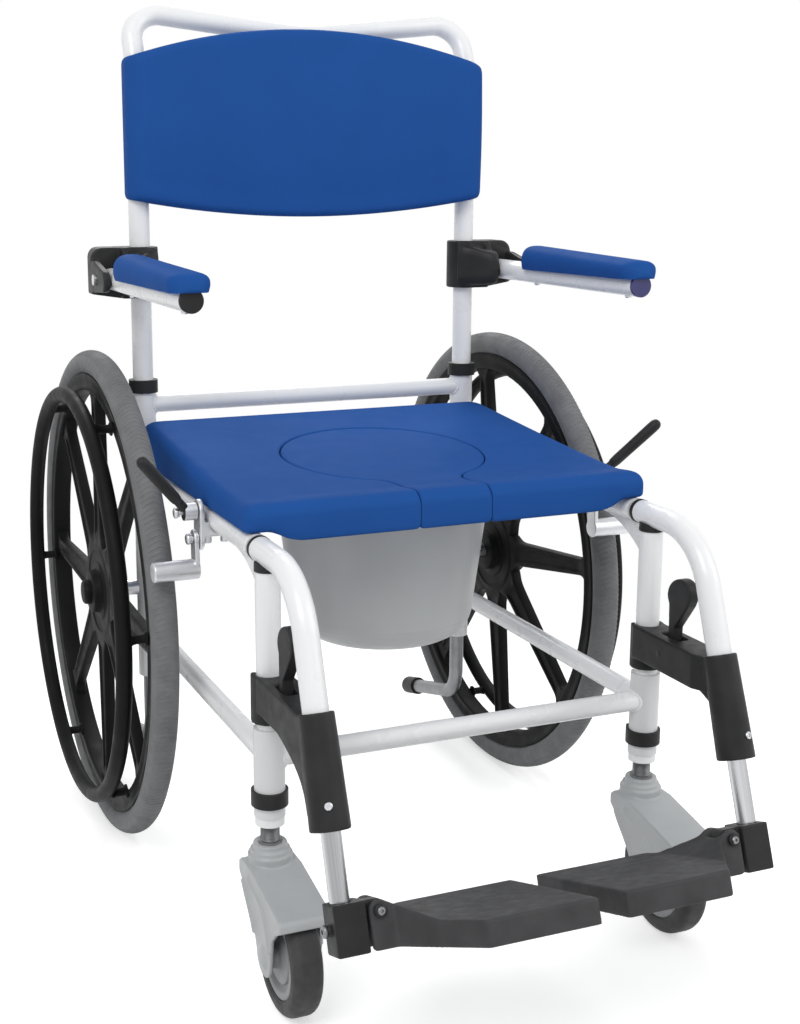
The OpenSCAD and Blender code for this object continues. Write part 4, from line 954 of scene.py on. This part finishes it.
def head_tree():
    """Screw heads on points, each turned along the point's own axis."""
    nodes = {
        "info": ("GeometryNodeObjectInfo",),
        "axis": ("GeometryNodeInputNamedAttribute", {"Name": "axis"}, {"data_type": "FLOAT_VECTOR"}),
        "turn": ("FunctionNodeAlignRotationToVector", {}, {"axis": "Z"}),
    }
    links = (
        ("source", "Head", "info", "Object"), ("axis", "Attribute", "turn", "Vector"),
        ("source", "Geometry", "copies", "Points"), ("info", "Geometry", "copies", "Instance"),
        ("turn", "Rotation", "copies", "Rotation"),
    )
    return copies_tree("Screw heads", {"Head": "Object"}, nodes, links)


def bead_tree():
    """A row of flat drops along a line, as a weld leaves it."""
    nodes = {
        "curve": ("GeometryNodeMeshToCurve",),
        "points": ("GeometryNodeCurveToPoints", {}, {"mode": "LENGTH"}),
        "drop": ("GeometryNodeMeshIcoSphere", {"Subdivisions": 2}),
        "smooth": ("GeometryNodeSetShadeSmooth",),
    }
    links = (
        ("source", "Geometry", "curve", "Mesh"), ("curve", "Curve", "points", "Curve"),
        ("source", "Pitch", "points", "Length"), ("source", "Radius", "drop", "Radius"),
        ("drop", "Mesh", "smooth", 0), ("points", "Points", "copies", "Points"),
        ("smooth", 0, "copies", "Instance"),
    )
    return copies_tree("Weld bead", {"Radius": "Float", "Pitch": "Float"}, nodes, links)


def run_tree(piece, tree, finish, **values):
    """Runs a tree on a piece with a finish and the values of its inputs, and keeps the mesh."""
    values["Finish"] = FINISHES[finish]
    work = piece.modifiers.new(tree.name, "NODES")
    work.node_group = tree
    for item in tree.interface.items_tree:
        if item.name in values:
            work[item.identifier] = values[item.name]
    return apply_all(piece)


# Rear wheels

WHEEL_X = 280.0
WHEEL_R = 305.0
TYRE_C = 289.0
RIM_IN = 255.0
HUB_R = 60.0
SPOKE_T = 7.0
HOOP_R = 252.0
HOOP_OUT = 37.0
WHEEL_TURN = math.radians(-8)
LUG_TURN = math.radians(27)
LUG_COUNT = 6


def place_wheel(piece, sign, turn):
    """Moves a piece made about Z, with its outer face up, to the rear axle of one side."""
    mesh = piece.data
    mesh.transform(Matrix.Rotation(turn, 4, "Z"))
    mesh.transform(Matrix.Rotation(math.pi / 2, 4, "Y"))
    mesh.transform(Matrix.Translation((WHEEL_X * MM, POST_Y * MM + LEG_Y, WHEEL_R * MM)))
    if sign < 0:
        mesh.transform(Matrix.Diagonal((-1, 1, 1, 1)))
        mesh.flip_normals()
    return piece


def scaled(points):
    """Points in millimetres about the origin, as metres."""
    return [(x * MM, y * MM, z * MM) for x, y, z in points]


def turned(name, outline, finish, turns):
    """A turned ring in metres about Z."""
    points, faces = lathe(outline, turns)
    return add_mesh(name, scaled(points), faces, finish, 35)


def spoke_section(r):
    """Section of a spoke at one radius: a flat bar with a groove along both faces and flared ends."""
    half = 17 - 7 * (r - 52) / 206
    half += 9 * math.exp(-((r - HUB_R + 4) / 13) ** 2) + 12 * math.exp(-((RIM_IN + 2 - r) / 9) ** 2)
    deep = 2.6 * smooth_step(r, HUB_R + 6, HUB_R + 20) * smooth_step(RIM_IN - 8 - r, 0, 16)
    lip = min(5.0, half * 0.4)
    side = [(-half, -4.6), (-half + 0.6, -6.2), (-half + 2.2, -SPOKE_T), (-half + lip, -SPOKE_T)]
    side += [(-half + lip + 2, -SPOKE_T + deep), (0, -SPOKE_T + deep)]
    side += [(-x, z) for x, z in side[-2::-1]]
    full = side + [(x, -z) for x, z in side[::-1]]
    return [(r, x, z) for x, z in full]


def build_wheel(sizes, side, sign, turn):
    """Rim, hub and spokes in one piece."""
    rim = [(0, -8.5), (0.7, -10.6), (2.4, -11.8), (4.5, -12), (8, -10.6), (14, -10.6), (17, -12)]
    rim = [(RIM_IN + r, z) for r, z in rim + [(20, -12), (21.4, -11.2)]]
    groove = arc(TYRE_C, 0, 16.0, 220, 140, 14)
    piece = turned("wheel_rim_" + side, mirrored(rim, groove), "black_wheel", 160)
    half = [(6.1, 19), (22, 19), (25.6, 18.2), (27, 16), (27, 11.5), (28.4, 9.4), (31, 8.6), (36, 8.4)]
    half += [(38, 6.6), (51, 6.6), (53, 8.2), (57, 8), (59.3, 7), (60, 5)]
    hub = turned("wheel_hub", mirrored(half), "black_wheel", 96)
    cap = [(0.02, 18), (15.5, 18), (15.5, 23.5), (14.8, 25.8), (13.2, 27.3), (10, 28), (0.02, 28.2)]
    cap = turned("wheel_cap", cap, "black_wheel", 64)
    stations = [HUB_R - 8 + (RIM_IN + 3 - HUB_R + 8) * t for t in np.linspace(0, 1, 48)]
    points, faces = loft([scaled(spoke_section(r)) for r in stations])
    spokes = add_mesh("wheel_spokes", points, faces, sharp=30)
    run_tree(spokes, ring_tree(), "black_wheel", Count=sizes.spokes, Start=0.0)
    place_wheel(join(piece, hub, cap, spokes), sign, turn)
    dress(piece, "rear_wheel_" + side, "black_plastic", "wheel_" + side)


def build_tyre(sizes, side, sign, turn):
    """Round tyre with a row of chevron ribs around its tread."""
    section = arc(TYRE_C, 0, 15.5, 0, 350, 35)
    piece = turned("tyre_body_" + side, section, "grey_tyre", 160)
    rings = []
    for k in range(17):
        a = math.radians(-58 + 116 * k / 16)
        lead = 5.0 * abs(a)
        top = 15.95 if 0 < k < 16 else 15.3
        rib = ((14.9, -1.5), (top - 0.2, -1.2), (top, -0.8), (top, 0.8), (top - 0.2, 1.2), (14.9, 1.5))
        rings.append(scaled([(TYRE_C + r * math.cos(a), lead + w, r * math.sin(a)) for r, w in rib]))
    rib = add_mesh("tyre_ribs", *loft(rings), sharp=40)
    run_tree(rib, ring_tree(), "grey_tyre", Count=sizes.tread_count, Start=0.0)
    place_wheel(join(piece, rib), sign, turn)
    dress(piece, "rear_wheel_" + side, "grey_tyre", "tyre_" + side)


def build_hoop(side, sign, turn):
    """Hand hoop with the lugs that hold it on the rim."""
    section = [(r, HOOP_OUT + z) for r, z in arc(HOOP_R, 0, 9.5, 0, 348, 29)]
    piece = turned("hand_hoop_" + side, section, "black_wheel", 160)
    outline = [(0, 11.4), (8.4, 11.4), (8.4, 12.6), (7.6, 13.6), (5.8, 14.4), (5.0, 16), (5.0, 24)]
    points, faces = lathe(outline + [(5.6, 27), (7, 30), (0, 32)], 28)
    points = scaled([(x + HOOP_R + 3.5, y, z) for x, y, z in points])
    lug = add_mesh("hoop_lugs", points, faces, sharp=40)
    run_tree(lug, ring_tree(), "black_wheel", Count=LUG_COUNT, Start=LUG_TURN)
    place_wheel(join(piece, lug), sign, turn)
    dress(piece, "rear_wheel_" + side, "black_plastic", "handrim_" + side)


class CHAIR_OT_rear_wheels(bpy.types.Operator):
    """Make the spoked rear wheels, their treaded tyres and hand hoops"""

    bl_idname = "chair.rear_wheels"
    bl_label = "Rear wheels"

    def execute(self, context):
        sizes = context.scene.chair_sizes
        for side, sign in SIDES:
            turn = WHEEL_TURN if sign > 0 else 0.0
            build_wheel(sizes, side, sign, turn)
            build_tyre(sizes, side, sign, turn)
            build_hoop(side, sign, turn)
        return {"FINISHED"}


# Screws, welds and brakes

BRAKE_Y = 163.0
LEVER_Z = 470.0
HEAD_SIDES = 24
FOOT_S = 240.0
CAST_DETAIL = 0.0009
LOW_RAIL_Z = 249.0
REAR_CROSS_Z = 541.0
CROSS_R = 11.2
SEAT_RAIL_R = 12.9
SLEEVE_R = 16.0
POST_R = 15.0


def bolt_head(name, r, h, socket):
    """A round head with a hexagon socket, standing on z = 0, in millimetres."""
    rings = [(0.02, -0.6, 0), (r * 0.9, -0.6, 0), (r * 0.97, 0, 0), (r, h * 0.4, 0)]
    rings += [(r * 0.92, h * 0.78, 0), (r * 0.74, h, 0)]
    rings += [(socket, h, 1), (socket, h * 0.35, 1), (0.02, h * 0.35, 0)]
    points = []
    for size, z, hexagon in rings:
        for k in range(HEAD_SIDES):
            a = TAU * k / HEAD_SIDES
            reach = size
            if hexagon:
                reach = size * math.cos(TAU / 12) / math.cos((a + TAU / 12) % (TAU / 6) - TAU / 12)
            points.append((reach * math.cos(a), reach * math.sin(a), z))
    piece = add_mesh(name, scaled(points), grid(len(rings), HEAD_SIDES, wrap=True), sharp=35)
    bpy.context.scene.collection.objects.unlink(piece)
    return piece


def on_shank(x, y, s):
    """A point beside the hanger's lower leg: x to the side, y to the front, s down from its bend."""
    lean, drop = math.sin(SHANK_LEAN), math.cos(SHANK_LEAN)
    return (FRAME_X + x, SHANK_TOP[0] - s * lean - y * drop, SHANK_TOP[1] - s * drop + y * lean)


def screw_rows():
    """Screws of the right side: body, head, finish, and the points with their axes."""
    front = (0.0, -math.cos(SHANK_LEAN), math.sin(SHANK_LEAN))
    out, down, rear = (1, 0, 0), (0, 0, -1), (0, 1, 0)
    slant = (0.29, 0.957 * front[1], 0.957 * front[2])
    return [
        ("hanger", "pan", "bright_steel", [(on_shank(0.29 * 18.8, 0.957 * 18.8, 153), slant)]),
        ("foot_support", "pan", "dull_steel", [(on_shank(-31, 20.4, FOOT_S + 11), front)]),
        ("foot_support", "cap", "dull_steel", [(on_shank(16.6, 0, FOOT_S + 23), out)]),
        ("arm", "pan", "bright_steel", [((ARM_X, y, ARM_Z - 12.6), down) for y in (128, 338)]),
        ("", "cap", "bright_steel", [((FRAME_X, POST_Y + 21.6, ARM_Z + d), rear) for d in (-12, 24)]),
        ("", "pan", "bright_steel", [((FRAME_X, POST_Y + 12.6, z), rear) for z in (832, 918)]),
        ("", "pan", "bright_steel", [((FRAME_X + 5.8, 20.5, 207), out)]),
        ("", "cap", "bright_steel", [((x, BRAKE_Y, z), out) for x, z in ((267.2, LEVER_Z), (254.2, 440))]),
        ("", "pan", "bright_steel", [((FRAME_X - 15, y, 449), (-1, 0, 0)) for y in (155, 171)]),
    ]


class CHAIR_OT_screws(bpy.types.Operator):
    """Put screw and bolt heads where the parts are held together"""

    bl_idname = "chair.screws"
    bl_label = "Screws and bolts"

    def execute(self, context):
        tree = head_tree()
        heads = {"pan": bolt_head("pan_head", 4.0, 2.4, 1.7), "cap": bolt_head("cap_head", 6.2, 3.4, 2.6)}
        for side, sign in SIDES:
            for k, (body, head, finish, places) in enumerate(screw_rows()):
                mesh = bpy.data.meshes.new("screws")
                mesh.from_pydata(row([(sign * p[0], p[1], p[2]) for p, _ in places]), [], [])
                axes = mesh.attributes.new("axis", "FLOAT_VECTOR", "POINT")
                axes.data.foreach_set("vector", [v for _, a in places for v in (sign * a[0], a[1], a[2])])
                piece = new_piece("screws_%s_%d" % (side, k), mesh)
                run_tree(piece, tree, finish, Head=heads[head])
                dress(piece, body + "_" + side if body else "frame", "bright_steel")
        for head in heads.values():
            bpy.data.objects.remove(head)
        return {"FINISHED"}


class CHAIR_OT_brakes(bpy.types.Operator):
    """Make the cast brake saddles and shoes, the lever hubs and their grips"""

    bl_idname = "chair.brakes"
    bl_label = "Brakes"

    def execute(self, context):
        piece = solid_copy("brake_saddles", "brake_clamps")
        for _, sign in SIDES:
            for x in (FRAME_X - 8, FRAME_X + 12):
                join(piece, bar([(sign * x, BRAKE_Y, 446), (sign * x, BRAKE_Y, 434)], [5, 5], 20))
        mould(piece, CAST_DETAIL, 3, "cast_metal", "frame", "bright_steel", "brake_clamps")
        for side, sign in SIDES:
            shoe, lever = "brake_shoe_" + side, "brake_lever_" + side
            piece = solid_copy("brake_block_" + side, shoe)
            mould(piece, CAST_DETAIL, 3, "cast_metal", shoe, "bright_steel", shoe)
            hub = [(sign * x, BRAKE_Y, LEVER_Z) for x in (245.35, 246.2, 259.4, 260.3)]
            piece = bar(hub, [8.4, 9.4, 9.4, 8.4], 32, "lever_hub_" + side, "cast_metal", 40)
            dress(piece, lever, "bright_steel")
            grip = []
            for t in (0.22, 0.24, 0.3, 0.5, 0.75, 0.92, 0.97, 1.0, 1.02, 1.03):
                grip.append((sign * (255.3 + 58 * t), BRAKE_Y - 32 * t, LEVER_Z + 66 * t))
            radii = [4.9, 5.8, 6.3, 6.4, 6.7, 6.8, 6.5, 5.4, 3.6, 1.2]
            piece = bar(grip, radii, 24, "lever_grip_" + side, "black_plastic")
            dress(piece, lever, "black_plastic")
        return {"FINISHED"}


def joint_ring(centre, along, r, big):
    """Closed line where a tube of radius r, leaving along an axis, meets an upright of radius big."""
    centre, along = Vector(centre), Vector(along)
    side = along.cross(Vector((0, 0, 1)))
    ring = []
    for k in range(60):
        a = TAU * k / 60
        reach = math.sqrt(big * big - (r * math.cos(a)) ** 2)
        ring.append(centre + along * reach + side * (r * math.cos(a)) + Vector((0, 0, r * math.sin(a))))
    return ring


class CHAIR_OT_welds(bpy.types.Operator):
    """Lay weld beads where the frame's tubes meet"""

    bl_idname = "chair.welds"
    bl_label = "Weld beads"

    def execute(self, context):
        rings = []
        for _, sign in SIDES:
            x = sign * FRAME_X
            inward, front, rear = (-sign, 0, 0), (0, -1, 0), (0, 1, 0)
            rings.append(joint_ring((x, 0, LOW_RAIL_Z), rear, CROSS_R, SLEEVE_R))
            rings.append(joint_ring((x, POST_Y, LOW_RAIL_Z), front, CROSS_R, POST_R))
            rings.append(joint_ring((x, 0, LOW_RAIL_Z), inward, CROSS_R, SLEEVE_R))
            rings.append(joint_ring((x, POST_Y, REAR_CROSS_Z), inward, CROSS_R, POST_R))
            rings.append(joint_ring((x, POST_Y, RAIL_Z), front, SEAT_RAIL_R, POST_R))
        points, edges = [], []
        for ring in rings:
            start = len(points)
            points += row(ring)
            edges += [(start + k, start + (k + 1) % len(ring)) for k in range(len(ring))]
        mesh = bpy.data.meshes.new("weld_beads")
        mesh.from_pydata(points, edges, [])
        piece = new_piece("weld_beads", mesh)
        bead = context.scene.chair_sizes.bead
        run_tree(piece, bead_tree(), "white_coat", Radius=bead, Pitch=1.2 * bead)
        dress(piece, "frame", "white_coat")
        return {"FINISHED"}


# Stage

EYE = (-0.6823, -1.5595, 0.8263)
LOOK = (math.radians(90 - 11.46), 0.0, math.radians(-21.96))
LENS = 51.82
SENSOR = 36
SHIFT = (0.062, -0.040)
SKY_LIGHT = 0.60
FLOOR_GLOW = 0.52
FLOOR_HALF = 9
FADE_FROM = 0.55
FADE_TO = 1.15
# Lamps by name: place, height of the point that it faces, size and power
LAMPS = {
    "key": ((-1.9, -1.9, 2.9), 0.5, 1.6, 52),
    "fill": ((2.2, -1.6, 1.8), 0.5, 1.8, 26),
    "back": ((0.4, 2.2, 2.6), 0.6, 1.6, 42),
}
# Nodes that give 1 for the rays that show the surroundings: the camera's, and those of gloss and glass
SEEN_NODES = {
    "rays": ("ShaderNodeLightPath",),
    "gloss": ("ShaderNodeMath", {}, {"operation": "MAXIMUM"}),
    "seen": ("ShaderNodeMath", {}, {"operation": "MAXIMUM"}),
    "pick": ("ShaderNodeMixShader",),
}
SEEN_LINKS = (
    ("rays", "Is Camera Ray", "gloss", 0),
    ("rays", "Is Glossy Ray", "gloss", 1),
    ("gloss", 0, "seen", 0),
    ("rays", "Is Transmission Ray", "seen", 1),
    ("seen", 0, "pick", "Fac"),
)


def area_lamp(name, place, aim, size, power):
    """A soft square lamp that faces a point above the origin."""
    data = bpy.data.lights.new(name, "AREA")
    data.size = size
    data.energy = power
    lamp = new_piece(name, data)
    lamp.location = place
    lamp.rotation_euler = (Vector((0, 0, aim)) - Vector(place)).to_track_quat("-Z", "Y").to_euler()


def white_floor():
    """A floor that shows the chair's shadow and turns to plain white away from it."""
    mat = bpy.data.materials.new("white_floor")
    mat.use_nodes = True
    tree = mat.node_tree
    tree.nodes.remove(tree.nodes["Principled BSDF"])
    nodes = {
        "matt": ("ShaderNodeBsdfDiffuse", {"Color": (0.80, 0.80, 0.80, 1)}),
        "glow": ("ShaderNodeEmission", {"Strength": FLOOR_GLOW}),
        "plain": ("ShaderNodeEmission", {"Strength": 1.0}),
        "lit": ("ShaderNodeAddShader",),
        "coords": ("ShaderNodeTexCoord",),
        "reach": ("ShaderNodeVectorMath", {}, {"operation": "LENGTH"}),
        "far": ("ShaderNodeMapRange", {"From Min": FADE_FROM, "From Max": FADE_TO},
                {"interpolation_type": "SMOOTHSTEP"}),
        "fade": ("ShaderNodeMixShader",),
    }
    links = (
        ("matt", 0, "lit", 0), ("glow", 0, "lit", 1), ("coords", "Object", "reach", 0),
        ("reach", "Value", "far", "Value"), ("far", "Result", "fade", "Fac"),
        ("lit", 0, "fade", 1), ("plain", 0, "fade", 2), ("matt", 0, "pick", 1),
        ("fade", 0, "pick", 2), ("pick", 0, "Material Output", "Surface"),
    )
    add_nodes(tree, {**SEEN_NODES, **nodes}, (*SEEN_LINKS, *links))
    return mat


class CHAIR_OT_stage(bpy.types.Operator):
    """Set up the floor, the light and the camera"""

    bl_idname = "chair.stage"
    bl_label = "Floor, light and camera"

    def execute(self, context):
        scene = context.scene
        scene.view_settings.view_transform = "Standard"
        scene.world = bpy.data.worlds.new("Studio")
        scene.world.use_nodes = True
        tree = scene.world.node_tree
        sky = tree.nodes["Background"].inputs
        sky["Color"].default_value = (1, 1, 1, 1)
        sky["Strength"].default_value = SKY_LIGHT
        plain = {"plain": ("ShaderNodeBackground", {"Color": (1, 1, 1, 1), "Strength": 1.0})}
        links = (
            ("Background", 0, "pick", 1), ("plain", 0, "pick", 2),
            ("pick", 0, "World Output", "Surface"),
        )
        add_nodes(tree, {**SEEN_NODES, **plain}, (*SEEN_LINKS, *links))
        corners = [(x * FLOOR_HALF, y * FLOOR_HALF, 0) for x, y in ((-1, -1), (1, -1), (1, 1), (-1, 1))]
        floor = add_mesh("floor", corners, [(0, 1, 2, 3)])
        floor.data.materials.append(white_floor())
        for name, lamp in LAMPS.items():
            area_lamp(name, *lamp)
        data = bpy.data.cameras.new("photo_view")
        data.lens = LENS
        data.sensor_width = SENSOR
        data.shift_x, data.shift_y = SHIFT
        data.clip_start = 0.05
        data.clip_end = 60
        camera = new_piece("photo_view", data)
        camera.location = EYE
        camera.rotation_euler = LOOK
        scene.camera = camera
        return {"FINISHED"}


class CHAIR_PT_panel(bpy.types.Panel):
    """Lists the chair's sizes, colours and pieces"""

    bl_idname = "CHAIR_PT_panel"
    bl_label = "Shower commode chair"
    bl_space_type = "VIEW_3D"
    bl_region_type = "UI"
    bl_category = "Chair"

    def draw(self, context):
        for group in (context.scene.chair_colours, context.scene.chair_sizes):
            box = self.layout.box()
            for key in group.__annotations__:
                box.prop(group, key)
        for step in STEPS:
            self.layout.operator(step.bl_idname)


STEPS = (CHAIR_OT_stage, CHAIR_OT_finishes, CHAIR_OT_seat, CHAIR_OT_backrest, CHAIR_OT_arm_pads,
         CHAIR_OT_mouldings, CHAIR_OT_castors, CHAIR_OT_rear_wheels, CHAIR_OT_brakes, CHAIR_OT_screws,
         CHAIR_OT_welds)
CLASSES = (ChairColours, ChairSizes, *STEPS, CHAIR_PT_panel)


def register():
    for cls in CLASSES:
        bpy.utils.register_class(cls)
    bpy.types.Scene.chair_colours = bpy.props.PointerProperty(type=ChairColours)
    bpy.types.Scene.chair_sizes = bpy.props.PointerProperty(type=ChairSizes)


def unregister():
    del bpy.types.Scene.chair_sizes
    del bpy.types.Scene.chair_colours
    for cls in reversed(CLASSES):
        bpy.utils.unregister_class(cls)


def main():
    register()
    bpy.ops.chair.stage()
    bpy.ops.chair.finishes()
    bpy.ops.chair.seat()
    bpy.ops.chair.backrest()
    bpy.ops.chair.arm_pads()
    bpy.ops.chair.mouldings()
    bpy.ops.chair.castors()
    bpy.ops.chair.rear_wheels()
    bpy.ops.chair.brakes()
    bpy.ops.chair.screws()
    bpy.ops.chair.welds()


if __name__ == "__main__":
    main()
